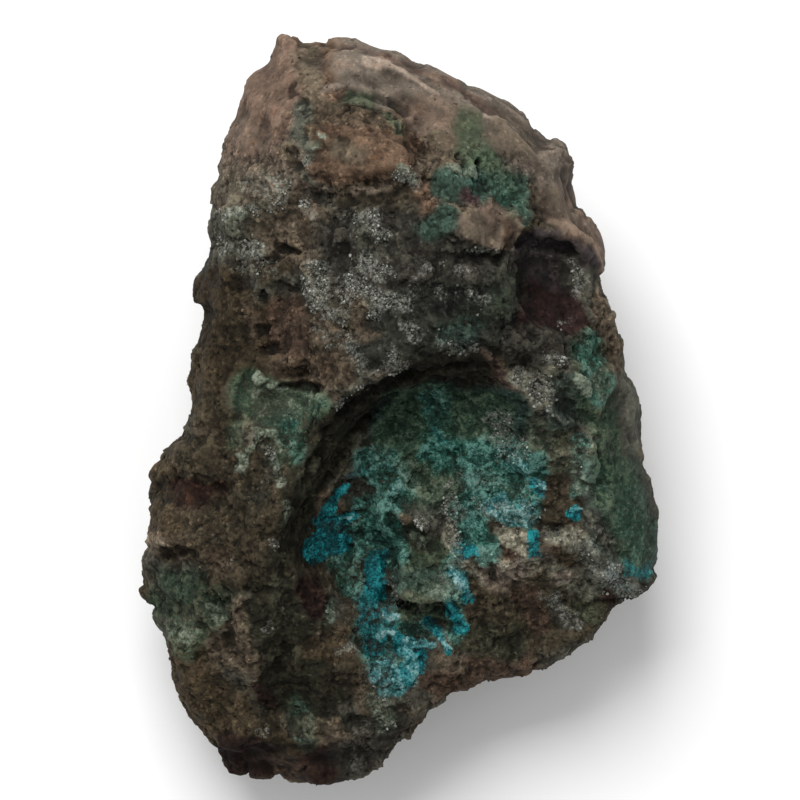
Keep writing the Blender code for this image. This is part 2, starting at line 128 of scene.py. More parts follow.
FINE_RELIEF = listed(
    Relief,
    ("plate_right_edge", [(0.0, 35.5), (1.6, 33.0), (2.2, 30.8), (1.7, 27.8)], 0.38, 0.62, 0.25),
    ("plate_right_shadow", [(0.9, 35.0), (2.5, 32.0), (3.0, 29.5), (2.8, 27.5)], 0.31, 0.62, -0.25),
    ("plate_lower_edge", [(-12.7, 27.9), (-8.9, 27.4), (-7.0, 26.5), (-4.5, 27.1), (-0.8, 28.1),
        (1.4, 27.8)], 0.38, 0.62, 0.2),
    ("plate_lower_shadow", [(-12.4, 26.6), (-7.0, 25.4), (-4.2, 26.1), (-0.7, 26.9),
        (1.8, 26.5)], 0.38, 0.75, -0.15),
    ("plate_hole", [(-13.9, 31.5), (-13.4, 29.8)], 0.62, 0.5, -1.2),
    ("plate_notch", [(-15.1, 19.8), (-13.4, 19.5)], 0.25, 0.5, -0.8),
    ("left_notch", [(-17.4, 18.6), (-15.7, 18.8)], 0.25, 0.5, -0.8),
    ("plate_crack", [(-5.0, 28.0), (-3.2, 27.8)], 0.25, 0.38, -0.5),
    ("plate_step", [(-12.1, 32.0), (-8.9, 32.5), (-7.1, 33.5)], 0.25, 0.62, -0.2),
    ("plate_knob", [(-10.1, 33.4), (-9.6, 33.3)], 0.44, 0.44, 0.75),
    ("plate_knob_west", [(-11.6, 32.5), (-10.6, 32.8)], 0.25, 0.38, 0.4),
    ("face_step", [(-12.9, 44.8), (-12.9, 41.3), (-13.6, 39.3)], 0.19, 0.5, -0.1),
    ("face_notch", [(-13.7, 40.3), (-13.4, 39.0)], 0.25, 0.38, -0.2),
    ("face_scratch", [(-4.6, 43.1), (-0.8, 42.3), (2.0, 40.8), (4.3, 39.3)], 0.19, 0.38, 0.1),
    ("face_scratch_low", [(10.6, 36.6), (14.8, 34.4)], 0.25, 0.5, 0.15),
    ("moss_step", [(-7.2, 38.6), (-5.0, 38.8), (-2.5, 38.1), (-0.5, 36.8), (0.3, 34.8)], 0.5, 0.88, -0.65),
    ("moss_crescents", [(-7.0, 37.4), (-5.5, 37.8), (-4.5, 37.5), (-3.0, 36.9)], 0.19, 0.38, -0.2),
    ("moss_pit", [(9.7, 30.5), (9.8, 29.8)], 0.31, 0.38, -1.1),
    ("moss_crack", [(7.5, 31.0), (7.7, 29.8)], 0.19, 0.38, -0.6),
    ("waist_pit_top", [(-17.2, 13.3), (-16.9, 13.0)], 0.38, 0.62, -0.8),
    ("waist_pit", [(-17.6, 9.1), (-16.9, 9.0)], 0.5, 0.62, -0.9),
    ("waist_pit_low", [(-16.8, 7.4), (-16.2, 7.3)], 0.5, 0.62, -0.9),
    ("scallop_brow", [(-16.2, 2.3), (-14.4, 3.1), (-12.7, 3.4), (-10.9, 3.1)], 0.19, 0.38, 0.6),
    ("scallop_brow_shadow", [(-14.7, 2.6), (-12.2, 2.5), (-10.7, 2.1)], 0.38, 0.38, -0.5),
    ("scallop_rim", [(-20.2, 4.8), (-21.9, 1.8), (-21.7, -1.7)], 0.38, 0.75, 0.5),
    ("scallop_vein", [(-18.2, -4.7), (-17.4, -3.6), (-15.9, -3.9), (-15.2, -5.2)], 0.25, 0.5, 0.35),
    ("scallop_chip", [(-17.7, 3.8), (-17.4, 3.0)], 0.38, 0.38, 0.5),
    ("lip", [(-13.7, -9.0), (-11.4, -5.0), (-9.4, -0.7), (-7.1, 1.3), (-4.5, 3.3), (-0.2, 5.3),
        (3.5, 6.1), (7.3, 6.5), (10.6, 6.5)], 0.38, 0.75, 0.45),
    ("lip_end", [(11.1, 6.3), (13.1, 3.8), (15.3, 1.3), (16.6, 0.3)], 0.38, 0.75, 0.4),
    ("wall_groove", [(-12.2, -9.2), (-9.9, -4.7), (-8.0, -1.0), (-5.2, 1.0), (0.0, 4.0), (3.8, 4.9),
        (8.6, 5.5)], 0.19, 0.5, -0.6),
    ("wall_rib", [(-11.2, -10.0), (-8.9, -5.0), (-7.0, -1.7), (-3.7, 1.0), (0.6, 3.3), (4.8, 4.3),
        (9.6, 4.5)], 0.19, 0.5, 0.4),
    ("wall_groove_low", [(-10.4, -10.7), (-8.2, -6.2), (-5.7, -3.0), (-2.2, 0.5), (1.3, 2.5),
        (5.5, 3.3)], 0.19, 0.5, -0.5),
    ("wall_rib_low", [(-9.7, -11.2), (-7.2, -7.0), (-4.7, -4.0), (-1.2, -0.5)], 0.19, 0.5, 0.35),
    ("floor_island", [(-7.0, -11.2), (-5.8, -12.2)], 0.88, 0.5, 0.7),
    ("crevice", [(-0.5, -24.5), (2.3, -25.4), (5.5, -25.6)], 0.38, 0.5, -1.6),
    ("crevice_brow", [(-0.5, -23.5), (2.8, -24.0), (5.8, -23.7)], 0.38, 0.62, 0.2),
    ("lump_groove", [(-1.2, -14.0), (-0.2, -16.0), (2.3, -16.0)], 0.38, 0.75, -0.6),
    ("lump_flake", [(4.8, -13.1), (6.0, -14.1)], 0.31, 0.38, 0.7),
    ("lump_blob", [(2.3, -14.4), (2.7, -15.0)], 0.38, 0.38, 0.6),
    ("column_edge", [(-2.2, -19.2), (-1.7, -24.2)], 0.25, 0.5, -0.5),
    ("block_edge", [(-7.0, -15.7), (-6.7, -18.7)], 0.25, 0.5, -0.5),
    ("ring", [(18.6, 1.8), (18.8, -0.5), (20.1, -1.6), (21.6, -1.4)], 0.25, 0.5, 0.5),
    ("ring_inside", [(19.8, 1.3), (20.6, -0.2)], 0.62, 0.75, -0.7),
    ("ring_spot", [(22.3, 2.9), (22.9, 2.1)], 0.5, 0.5, 0.7),
    ("bank_pit", [(16.8, 3.0), (17.1, 2.8)], 0.25, 0.38, -0.7),
    ("pit_corner", [(14.7, 10.5), (16.1, 9.0)], 0.62, 0.75, -0.8),
    ("pit_brow", [(15.1, 22.5), (18.1, 21.8), (21.3, 20.8), (23.3, 18.8)], 0.31, 0.62, 0.5),
    ("pit_brow_shadow", [(15.3, 20.5), (18.6, 20.4), (21.3, 19.3)], 0.38, 0.75, -0.6),
    ("block_foot", [(7.5, 19.0), (12.3, 18.9), (14.1, 21.0)], 0.31, 0.62, -0.6),
    ("strip", [(23.1, -3.0), (23.8, -5.5), (23.3, -8.7)], 0.5, 0.75, 0.5),
    ("strip_groove", [(24.6, -3.7), (24.8, -9.2)], 0.25, 0.62, -0.4),
    ("step_edge", [(9.1, -19.5), (9.6, -20.7), (12.3, -21.5), (16.1, -20.2)], 0.25, 0.62, -0.5),
    ("patch_edge", [(16.6, -14.7), (17.9, -15.6), (20.1, -15.2)], 0.25, 0.5, -0.6),
    ("sole_pit", [(12.6, -18.1), (13.8, -18.5)], 0.38, 0.5, -0.3),
    ("sole_pit_low", [(11.1, -20.2), (11.3, -21.7)], 0.31, 0.5, -0.6),
    ("hip_notch", [(-29.2, -18.5), (-26.7, -18.0)], 0.5, 0.75, -0.7),
    ("hip_brow", [(-31.2, -16.5), (-25.7, -16.7)], 0.38, 0.75, 0.4),
    ("shin_ridge", [(-20.4, -23.7), (-19.7, -30.2)], 0.5, 0.88, 0.5),
    ("shin_groove", [(-21.9, -25.0), (-21.4, -30.5)], 0.38, 0.88, -0.4),
    ("toe_brow", [(-21.9, -41.7), (-17.4, -41.2), (-13.9, -41.7), (-8.9, -42.0),
        (-4.2, -41.0)], 0.38, 0.75, 0.5),
    ("toe_notch", [(-21.2, -43.2), (-17.4, -42.7)], 0.38, 0.75, -0.4),
    ("ledge_notch", [(-7.2, 24.3), (-6.2, 22.5)], 0.5, 0.62, -0.7),
    ("ledge_crack", [(-5.2, 23.0), (-1.9, 21.8)], 0.19, 0.38, -0.5),
    ("ledge_slot", [(4.8, 18.8), (9.3, 18.5), (12.3, 18.5)], 0.25, 0.62, -0.5),
    ("ledge_blob", [(2.0, 15.8), (3.5, 17.3)], 0.5, 0.62, 0.5),
    ("corner_step", [(23.8, -17.5), (25.3, -19.2), (27.6, -20.0)], 0.38, 0.62, 0.5),
)
OUTLINE_FULLNESS = listed(
    Relief,
    ("hip_top", [(-31.8, -14.5), (-32.1, -16.7)], 1.0, 1.0, -0.35),
    ("hip_side", [(-32.5, -20.0), (-32.1, -23.2)], 1.12, 1.12, 0.7),
    ("heel_side", [(-30.7, -28.0), (-28.7, -32.0), (-24.6, -38.6), (-21.9, -43.0)], 1.75, 1.25, 0.68),
    ("heel_corner", [(-22.4, -44.7), (-20.9, -45.7)], 1.0, 1.0, 0.6),
    ("toe_corner_west", [(-20.1, -46.5), (-17.9, -46.6)], 1.0, 1.0, 0.95),
    ("toe_side", [(-12.4, -46.9), (-7.7, -47.0), (-3.7, -45.7)], 1.75, 1.25, 1.25),
    ("toe_corner", [(-1.2, -43.2), (0.0, -41.5)], 1.0, 0.75, 0.45),
    ("corner_side", [(26.6, 10.1), (27.6, 7.0)], 1.25, 1.0, 0.4),
    ("slope_side", [(29.1, 1.8), (30.4, -4.9)], 1.25, 1.0, 0.3),
    ("slope_side_low", [(31.3, -10.5), (31.7, -16.7)], 1.25, 1.0, 0.22),
    ("corner_low", [(29.8, -23.4), (31.1, -22.0)], 0.88, 0.88, 1.0),
    ("sole_side", [(25.3, -26.7), (22.8, -29.5), (20.6, -31.1)], 1.0, 0.75, 0.25),
    ("sole_mid", [(15.1, -33.6), (12.3, -34.1)], 1.0, 0.75, 0.4),
    ("sole_notch", [(8.1, -35.1), (6.3, -36.0)], 0.75, 0.75, -0.6),
    ("crown_side", [(-8.9, 46.0), (-7.0, 46.0)], 1.0, 0.75, -0.7),
    ("crown_east", [(-4.5, 45.3), (1.7, 43.3)], 1.0, 0.75, -0.3),
    ("crown_tip", [(-15.2, 45.8), (-14.7, 46.0)], 0.38, 0.5, 0.4),
    ("crown_gap", [(-12.4, 45.6), (-10.7, 45.8)], 0.62, 0.5, -0.6),
    ("shoulder_low", [(20.1, 33.0), (21.4, 29.8)], 1.0, 1.12, 0.4),
    ("side_dip", [(21.1, 29.0), (21.9, 25.5)], 0.75, 0.75, -0.55),
    ("side_knob", [(23.8, 22.5), (25.2, 20.3), (25.2, 18.0)], 0.75, 0.75, 0.5),
    ("side_notch", [(24.9, 16.0), (25.2, 14.3)], 0.62, 0.62, -0.4),
    ("waist_side", [(-24.9, 11.5), (-25.4, 8.8)], 0.88, 0.88, -0.75),
    ("waist_side_low", [(-26.4, 6.0), (-26.6, 5.0)], 0.62, 0.62, 0.35),
    ("west_corner", [(-30.2, -7.7), (-28.2, -5.7)], 1.0, 1.0, 0.8),
    ("west_corner_low", [(-31.4, -10.0), (-31.2, -9.5)], 0.75, 0.75, 0.25),
    ("shoulder_side", [(9.3, 40.0), (16.7, 35.1), (19.8, 32.0)], 1.25, 1.25, -0.6),
    ("upper_west_side", [(-23.7, 27.8), (-24.3, 23.9), (-24.4, 21.3)], 1.25, 1.25, -0.55),
)


def plain_copy(name, source):
    """A new object with its own copy of the mesh, its doubled points merged."""
    built = bmesh.new()
    built.from_mesh(source.data)
    bmesh.ops.remove_doubles(built, verts=built.verts, dist=MERGED_WITHIN)
    mesh = bpy.data.meshes.new(name)
    built.to_mesh(mesh)
    built.free()
    return link(bpy.data.objects.new(name, mesh))


def settled(piece, name):
    """The piece as its modifiers leave it, as a plain mesh of its own."""
    graph = bpy.context.evaluated_depsgraph_get()
    mesh = bpy.data.meshes.new_from_object(
        piece.evaluated_get(graph), preserve_all_data_layers=True, depsgraph=graph
    )
    bpy.data.objects.remove(piece)
    mesh.name = name
    return link(bpy.data.objects.new(name, mesh))


def read(items, field, width):
    values = np.empty(len(items) * width, np.float32)
    items.foreach_get(field, values)
    return values.reshape(-1, width).astype(float)


def places_of(piece):
    return read(piece.data.vertices, "co", 3) / MM


def normals_of(piece):
    return read(piece.data.vertex_normals, "vector", 3)


def place_points(piece, places):
    """Moves the points, and none goes below the table."""
    places = np.column_stack([places[:, :2], np.maximum(places[:, 2], 0)])
    piece.data.vertices.foreach_set("co", (places * MM).astype(np.float32).ravel())
    piece.data.update()
    return places


def put(piece, name, values):
    """Keeps a value for each point under a name, for the finish to read."""
    kind, field = ("FLOAT", "value") if values.ndim == 1 else ("FLOAT_COLOR", "color")
    kept = piece.data.attributes.new(name, kind, "POINT")
    kept.data.foreach_set(field, np.ascontiguousarray(values, np.float32).ravel())


def eased(values, low, high):
    share = np.clip((values - low) / (high - low), 0, 1)
    return share * share * (3 - 2 * share)


def seen(places):
    """The places drawn out to where the eye puts them on the level plane through the belt."""
    eye_plan = np.array(EYE_PLACE[:2]) / MM
    depth = (EYE_PLACE.z - EYE_PLANE) / MM
    reach = depth / (depth - (places[:, 2] - EYE_PLANE / MM))
    return eye_plan + (places[:, :2] - eye_plan) * reach[:, None]


def wander(places, sizes):
    """How far each place strays sideways, so that no edge runs straight."""
    strays = np.zeros((len(places), 2))
    for size, stray in sizes:
        for axis in range(2):
            shift = NOISE_SHIFTS[axis]
            waves = [noise.noise(Vector(place) / size + shift) for place in places]
            strays[:, axis] += STRAY_SCALE * stray * np.array(waves)
    return strays


def nearness(spots, line, reach, edge):
    """1 out to reach from a line, easing to 0 over the edge beyond it."""
    line = np.array(line, float)
    share = np.zeros(len(spots))
    low, high = line.min(0) - reach - edge, line.max(0) + reach + edge
    close = np.flatnonzero(((spots > low) & (spots < high)).all(1))
    gap = np.full(len(close), np.inf)
    for start, end in zip(line, line[1:]):
        along = end - start
        part = np.clip(((spots[close] - start) @ along) / (along @ along), 0, 1)
        gap = np.minimum(gap, np.hypot(*(spots[close] - start - part[:, None] * along).T))
    share[close] = 1 - eased(gap, reach, reach + edge)
    return share


skin = plain_copy("rough_skin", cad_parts["specimen"])
evening = skin.modifiers.new("evening", "REMESH")
evening.mode = "VOXEL"
evening.voxel_size = SKIN_FACE * MM
softening = skin.modifiers.new("softening", "SMOOTH")
softening.factor = SOFTENING_FACTOR
softening.iterations = SOFTENING_ROUNDS
skin = settled(skin, "even_skin")

skin_places = places_of(skin)
skin_normals = normals_of(skin)
uneven = [noise.noise(Vector(place) / TURNING_WAVES + NOISE_SHIFTS[2]) for place in skin_places]
upward = eased(skin_normals[:, 2] + TURNING_STRAY * np.array(uneven), *TURNING_UNDER)
relief_spots = seen(skin_places) + wander(skin_places, RELIEF_WANDER)


def raised(reliefs):
    """How far all the strokes together lift each point."""
    return sum(
        relief.rise * nearness(relief_spots, relief.line, relief.reach, relief.edge)
        for relief in reliefs
    )[:, None]


skin_shift = skin_normals * raised(FINE_RELIEF) * upward[:, None]
skin_shift += skin_normals * (1, 1, 0) * raised(OUTLINE_FULLNESS)
skin_places = place_points(skin, skin_places + skin_shift)

# The ground and the growths. Grey-brown rock shows rusty, clay-pink and sooty ground, and
# over it lie the copper minerals: turquoise chrysocolla in the hollow, teal and green
# round it, pale sage crusts, and a frost of tiny quartz.
GROWTH_WANDER = ((5.0, 0.7), (1.6, 0.45))
THIN = 0.6
# How the clouds fade and shrink from one layer to the next, and how many layers they have.
CLOUD_NOISE = (0.9, 2.1, 4)
# Clouds are given by their size and by where they begin and are whole.
SIDE_CLOUDS = (9.0, -0.15, 0.35)
VEIL_CLOUDS = (12.0, 0.22, 0.5)
VEIL_TEAL_CLOUDS = (5.0, 0.0, 0.3)
VEIL_GREEN, VEIL_TEAL = 0.6, 0.5
TINTS = {
    "clay_pink": (0.112, 0.075, 0.054),
    "tan": (0.106, 0.076, 0.056),
    "honey": (0.104, 0.08, 0.054),
    "blush": (0.105, 0.072, 0.058),
    "pale_streak": (0.16, 0.125, 0.098),
    "brick": (0.068, 0.046, 0.035),
    "face_grey": (0.086, 0.069, 0.054),
    "fawn": (0.108, 0.086, 0.062),
    "drab": (0.076, 0.059, 0.043),
    "cream": (0.185, 0.172, 0.128),
    "pale_bank": (0.098, 0.094, 0.068),
    "rust": (0.088, 0.056, 0.036),
    "umber": (0.065, 0.05, 0.034),
    "dark_rust": (0.048, 0.035, 0.023),
    "heel_brown": (0.038, 0.028, 0.016),
    "russet": (0.038, 0.025, 0.017),
    "moss": (0.046, 0.052, 0.032),
    "moss_grey": (0.056, 0.056, 0.043),
    "smoke": (0.042, 0.04, 0.03),
    "soot": (0.023, 0.021, 0.016),
    "deep_soot": (0.014, 0.015, 0.011),
    "bark": (0.022, 0.016, 0.009),
    "pale_bark": (0.029, 0.023, 0.014),
    "olive_bark": (0.027, 0.026, 0.016),
    "wine": (0.02, 0.0095, 0.006),
    "dark_wine": (0.013, 0.007, 0.005),
    "plum": (0.038, 0.022, 0.021),
    "dried_red": (0.036, 0.023, 0.018),
    "ash": (0.095, 0.108, 0.1),
    "pinkish": (0.098, 0.08, 0.062),
    "mulberry": (0.0185, 0.0095, 0.0082),
    "lichen": (0.036, 0.056, 0.045),
    "pit_grey": (0.03, 0.024, 0.024),
    "coal": (0.013, 0.012, 0.007),
    "hollow_green": (0.018, 0.032, 0.025),
    "slate": (0.029, 0.037, 0.029),
    "dull_teal": (0.027, 0.046, 0.034),
}
SIDE_TINTS = ("pale_bark", "umber", "smoke")

# How far a stroke stands from its tint, where the rock is washed darker or paler.
STEPS = {"dim": 0.82, "plain": 1.0, "fair": 1.2, "bright": 1.45}

# Strokes of bare ground, each laid over those before it.
Ground = namedtuple("Ground", "name tint line reach edge step", defaults=["plain"])
GROUNDS = listed(
    Ground,
    ("clay_face", "clay_pink", [(-14.6, 43.9), (-17.1, 38.3), (-18.9, 33.3)], 3.5, 2.2, "dim"),
    ("corner", "honey", [(-11.7, 44.3), (-11.4, 37.8)], 0.9, 0.9, "dim"),
    ("corner_brown", "rust", [(-8.7, 44.5), (-8.4, 39.8)], 1.0, 0.9),
    ("grey_face", "face_grey", [(-5.0, 43.0), (2.3, 39.5), (12.3, 35.8)], 3.0, 1.8),
    ("face_rim", "brick", [(-7.7, 45.4), (-1.7, 43.9), (4.8, 41.1), (12.3, 37.0), (16.1, 34.1)], 0.2, 0.6),
    ("face_streak", "pale_streak", [(-4.6, 43.1), (-0.8, 42.3)], 0.2, 0.4),
    ("face_streak_mid", "pale_streak", [(-0.2, 42.1), (2.0, 40.8), (4.3, 39.3)], 0.2, 0.4),
    ("face_streak_low", "pale_streak", [(10.6, 36.6), (14.8, 34.4)], 0.2, 0.4),
    ("face_spot", "wine", [(-1.9, 44.0), (-1.6, 43.6)], 0.2, 0.4),
    ("corner_blush", "pale_streak", [(-9.7, 39.3), (-8.1, 39.9)], 0.3, 0.4),
    ("face_foot", "tan", [(2.0, 36.0), (6.3, 34.8)], 1.9, 1.2),
    ("face_shade", "umber", [(3.5, 31.5), (6.3, 30.3)], 1.8, 1.5),
    ("plate_back", "dark_rust", [(-9.9, 35.8), (-1.7, 35.5)], 1.2, 1.0),
    ("plate", "rust", [(-8.7, 31.8), (-1.2, 31.8)], 3.1, 1.0, "dim"),
    ("plate_pale", "drab", [(-12.4, 27.4), (-7.1, 26.6), (-2.1, 27.6), (-0.2, 28.4)], 0.2, 0.5),
    ("plate_root", "moss_grey", [(-12.3, 36.8), (-12.2, 31.8)], 1.0, 0.9),
    ("left_tan", "tan", [(-21.2, 33.3), (-17.4, 30.8)], 2.5, 1.5, "dim"),
    ("left_grit", "drab", [(-21.4, 26.4), (-16.7, 28.0), (-15.2, 25.5)], 3.0, 1.8),
    ("left_edge", "smoke", [(-22.4, 20.5), (-17.9, 21.8)], 2.5, 1.8),
    ("brown_band", "umber", [(-14.2, 22.6), (-8.7, 20.5)], 3.4, 1.8),
    ("brown_wine", "russet", [(-9.9, 18.3), (-8.0, 18.0)], 0.8, 0.6),
    ("ledge", "soot", [(-5.8, 19.5), (-0.2, 19.5), (9.8, 18.0)], 4.2, 2.5),
    ("ledge_red", "rust", [(2.2, 27.5), (3.0, 25.5)], 0.8, 0.9),
    ("ledge_front", "deep_soot", [(0.4, 10.5), (12.3, 11.0)], 3.5, 2.2),
    ("waist", "bark", [(-22.9, 13.3), (-21.4, 7.0), (-17.4, 8.9)], 3.5, 2.2),
    ("waist_red", "russet", [(-13.9, 11.8), (-13.7, 7.6)], 2.0, 1.2),
    ("waist_tan", "umber", [(-8.9, 8.3), (-3.7, 7.3)], 1.4, 1.1),
    ("scallop_head", "dark_rust", [(-14.7, 4.8), (-8.3, 4.0)], 1.5, 1.1),
    ("west_edge", "heel_brown", [(-25.7, 4.3), (-23.7, 1.5)], 1.5, 1.2),
    ("waist_foot", "pale_bark", [(-24.4, 0.3), (-23.4, -3.2)], 1.8, 1.5),
    ("west_pale", "umber", [(-25.4, -3.2), (-23.4, -3.2)], 0.5, 0.8),
    ("hip", "pale_bark", [(-29.2, -7.0), (-21.2, -8.0)], 3.0, 2.0),
    ("hip_dark", "bark", [(-29.9, -10.2), (-28.9, -10.7)], 1.0, 1.0),
    ("red_streak", "wine", [(-27.4, -10.5), (-23.4, -10.7), (-24.4, -13.0), (-27.2, -12.7)], 0.9, 1.1),
    ("pink_streak", "dark_rust", [(-30.9, -15.2), (-26.2, -15.0)], 1.6, 1.2),
    ("hip_brown", "pale_bark", [(-21.7, -16.7), (-16.2, -17.0)], 4.2, 2.5),
    ("hip_fleck", "dark_rust", [(-24.2, -18.7), (-22.4, -20.0)], 0.9, 0.9),
    ("hip_grey", "smoke", [(-29.2, -21.0), (-27.2, -21.7)], 1.6, 1.2),
    ("shin_ridge", "umber", [(-20.2, -24.7), (-19.4, -31.7)], 0.9, 1.1),
    ("shin", "olive_bark", [(-15.2, -25.0), (-13.7, -31.7)], 3.0, 2.2),
    ("shin_olive", "coal", [(-13.9, -15.0), (-13.2, -18.7), (-15.7, -19.2)], 1.1, 1.1),
    ("shin_grey", "coal", [(-17.2, -24.0), (-17.1, -26.5)], 0.9, 0.8),
    ("shin_wine", "dark_wine", [(-11.7, -22.7), (-11.2, -24.7)], 1.0, 0.8),
    ("shin_tan", "heel_brown", [(-11.2, -30.2), (-7.2, -30.7)], 1.1, 1.0),
    ("shin_dark", "coal", [(-14.4, -34.7), (-8.9, -36.5)], 2.5, 1.8),
    ("heel", "heel_brown", [(-27.4, -33.7), (-22.7, -39.5)], 3.5, 2.2),
    ("heel_wine", "dark_wine", [(-17.4, -35.7), (-16.7, -36.5)], 0.6, 0.8),
    ("toe", "dark_wine", [(-20.7, -43.7), (-8.7, -44.5)], 2.4, 1.1),
    ("toe_rust", "russet", [(-15.2, -44.7), (-13.4, -45.0)], 0.9, 0.8),
    ("toe_grey", "soot", [(-6.5, -44.2), (-1.2, -40.5)], 1.8, 1.5),
    ("sole_right", "pale_bark", [(9.8, -26.7), (17.3, -27.0), (20.6, -24.2)], 3.5, 2.0, "fair"),
    ("sole_edge", "russet", [(4.8, -34.5), (15.1, -32.7)], 1.5, 1.2, "fair"),
    ("sole_olive", "olive_bark", [(9.6, -29.2), (13.8, -29.5)], 1.5, 1.1),
    ("sole_tan", "umber", [(5.3, -32.1), (7.0, -32.1)], 0.8, 0.8),
    ("tan_step", "cream", [(10.3, -20.2), (12.3, -19.2), (15.3, -19.5)], 1.8, 0.9, "dim"),
    ("tan_step_foot", "fawn", [(11.8, -22.0), (14.1, -22.0)], 1.0, 0.9),
    ("step_top", "cream", [(12.6, -16.7), (15.1, -17.0)], 0.6, 0.6, "dim"),
    ("step_rust", "rust", [(13.1, -18.2), (13.9, -18.7)], 0.4, 0.5),
    ("sand_step", "cream", [(18.8, -16.2), (22.6, -16.6)], 0.9, 0.8, "dim"),
    ("step_foot", "pale_bank", [(19.8, -20.5), (23.8, -21.2)], 1.6, 1.2),
    ("bank_brown", "heel_brown", [(20.1, -18.7), (22.6, -19.1)], 0.8, 0.8),
    ("brown_patch", "pale_bark", [(18.1, -10.2), (18.8, -14.2)], 1.6, 0.9),
    ("patch_wine", "dark_wine", [(16.6, -12.2), (16.9, -13.4)], 0.5, 0.5),
    ("slope_grey", "slate", [(25.4, -14.7), (25.6, -18.2)], 1.9, 1.2),
    ("slope_top", "moss_grey", [(27.8, 4.5), (28.8, -4.5)], 1.2, 1.1),
    ("pit_side", "fawn", [(24.6, 17.3), (24.8, 14.3)], 0.8, 0.8),
    ("pit_side_low", "moss_grey", [(25.3, 12.3), (26.3, 9.3)], 1.1, 1.0),
    ("right_tan", "tan", [(20.6, 25.0), (22.8, 21.8), (23.8, 19.0)], 2.4, 1.2),
    ("right_blush", "blush", [(18.1, 27.3), (20.6, 27.0)], 1.0, 1.0, "dim"),
    ("right_olive", "face_grey", [(16.6, 32.0), (18.8, 29.8)], 2.5, 1.5),
    ("right_head", "drab", [(12.3, 34.5), (15.1, 33.0)], 1.5, 1.2),
    ("moss_face", "moss", [(8.3, 34.8), (9.8, 31.0)], 1.5, 1.1),
    ("ledge_teal", "dull_teal", [(6.0, 28.0), (13.3, 27.3), (14.1, 23.8)], 1.5, 1.0),
    ("ledge_teal_west", "dull_teal", [(5.5, 23.8), (4.0, 22.0)], 1.2, 1.0),
    ("plum_spot", "plum", [(8.4, 26.8), (9.4, 25.9)], 0.6, 0.6),
    ("block", "drab", [(8.6, 22.3), (12.6, 22.3)], 1.9, 0.9),
    ("block_top", "tan", [(10.3, 24.3), (12.1, 23.9)], 0.6, 0.6),
    ("block_side", "russet", [(13.3, 22.8), (13.4, 20.5)], 0.5, 0.5),
    ("pit", "pit_grey", [(17.3, 18.5), (21.8, 17.3), (18.3, 15.8)], 2.8, 0.8),
    ("pit_light", "smoke", [(20.6, 18.5), (21.4, 16.3)], 0.8, 0.9),
    ("pit_floor", "mulberry", [(16.6, 12.8), (20.6, 11.8)], 2.1, 1.1),
    ("pit_corner", "mulberry", [(15.3, 11.5), (16.3, 9.8)], 1.0, 0.6),
    ("pit_bank", "smoke", [(23.6, 15.8), (24.3, 12.3)], 1.0, 0.9),
    ("pit_foot", "soot", [(15.3, 7.3), (20.1, 7.0)], 1.8, 1.2),
    ("pale_bank", "pale_bank", [(15.1, 2.8), (18.3, 2.8)], 1.8, 1.1),
    ("stain", "dried_red", [(10.9, 6.0), (12.3, 3.5), (13.7, 1.5)], 0.9, 0.6),
    ("stain_foot", "dried_red", [(14.1, 0.8), (15.8, -0.5)], 0.5, 0.6),
    ("wall", "coal", [(-13.1, -11.7), (-10.7, -5.7), (-7.1, -1.5), (-3.7, 0.8), (0.4, 3.3),
        (8.8, 4.5)], 2.0, 1.0),
    ("wall_olive", "olive_bark", [(-11.9, -10.2), (-9.7, -5.5), (-7.0, -5.0)], 1.2, 1.0),
    ("hollow_floor", "hollow_green", [(0.4, -2.2), (12.3, -1.5)], 3.2, 1.5),
    ("island", "deep_soot", [(-6.8, -11.6), (-5.7, -12.6)], 0.8, 0.5),
    ("lump_top", "moss_grey", [(0.4, -12.0), (5.3, -12.7)], 1.0, 0.9),
    ("lump_dark", "coal", [(-1.4, -15.7), (0.8, -17.0)], 1.1, 0.9),
    ("hollow_lump", "olive_bark", [(0.6, -18.2), (5.3, -18.0)], 1.4, 1.0),
    ("lump_low", "lichen", [(0.0, -22.0), (5.5, -22.2)], 1.2, 1.0),
    ("lump_blush", "cream", [(5.7, -15.2), (6.3, -16.9)], 0.6, 0.5),
    ("blue_lump", "slate", [(20.4, 1.8), (20.3, -1.0)], 2.0, 0.9),
    ("side_strip", "pale_bank", [(23.6, -3.2), (23.3, -5.7)], 0.8, 0.6),
    ("side_strip_low", "moss_grey", [(23.1, -7.5), (23.1, -10.5)], 0.8, 0.6),
    ("slope", "slate", [(26.3, -9.2), (29.3, -19.2)], 3.0, 1.8),
    ("rough_corner", "moss_grey", [(25.1, -21.5), (28.8, -22.7)], 1.8, 1.1),
    ("corner_wine", "wine", [(25.9, -23.2), (26.3, -24.5)], 0.5, 0.5),
    ("corner_edge", "soot", [(28.6, -24.2), (31.1, -22.2)], 0.6, 0.8),
    ("lip_band", "deep_soot", [(-5.0, 7.0), (2.3, 7.0)], 1.1, 1.0),
    ("plate_dark", "umber", [(-8.0, 32.0), (-5.7, 31.8)], 0.9, 0.8),
    ("side_brown", "drab", [(18.3, 26.3), (19.8, 25.0)], 0.9, 0.9),
    ("face_gap", "umber", [(4.5, 33.5), (5.3, 32.8)], 0.6, 0.8),
    ("moss_band", "moss", [(-6.5, 38.8), (-3.7, 38.4)], 0.6, 0.5),
    ("moss_band_east", "moss", [(-1.7, 37.0), (0.0, 34.5)], 0.5, 0.5),
    ("hip_pale", "fawn", [(-31.8, -16.2), (-30.7, -17.4)], 0.6, 0.6),
    ("hip_brown_top", "heel_brown", [(-30.2, -13.7), (-28.2, -14.7)], 1.0, 0.9),
    ("waist_pale", "dark_rust", [(-19.4, 11.8), (-18.7, 10.0)], 1.1, 1.0),
    ("shin_grey_low", "smoke", [(-7.0, -38.5), (-5.7, -39.7)], 1.0, 0.9),
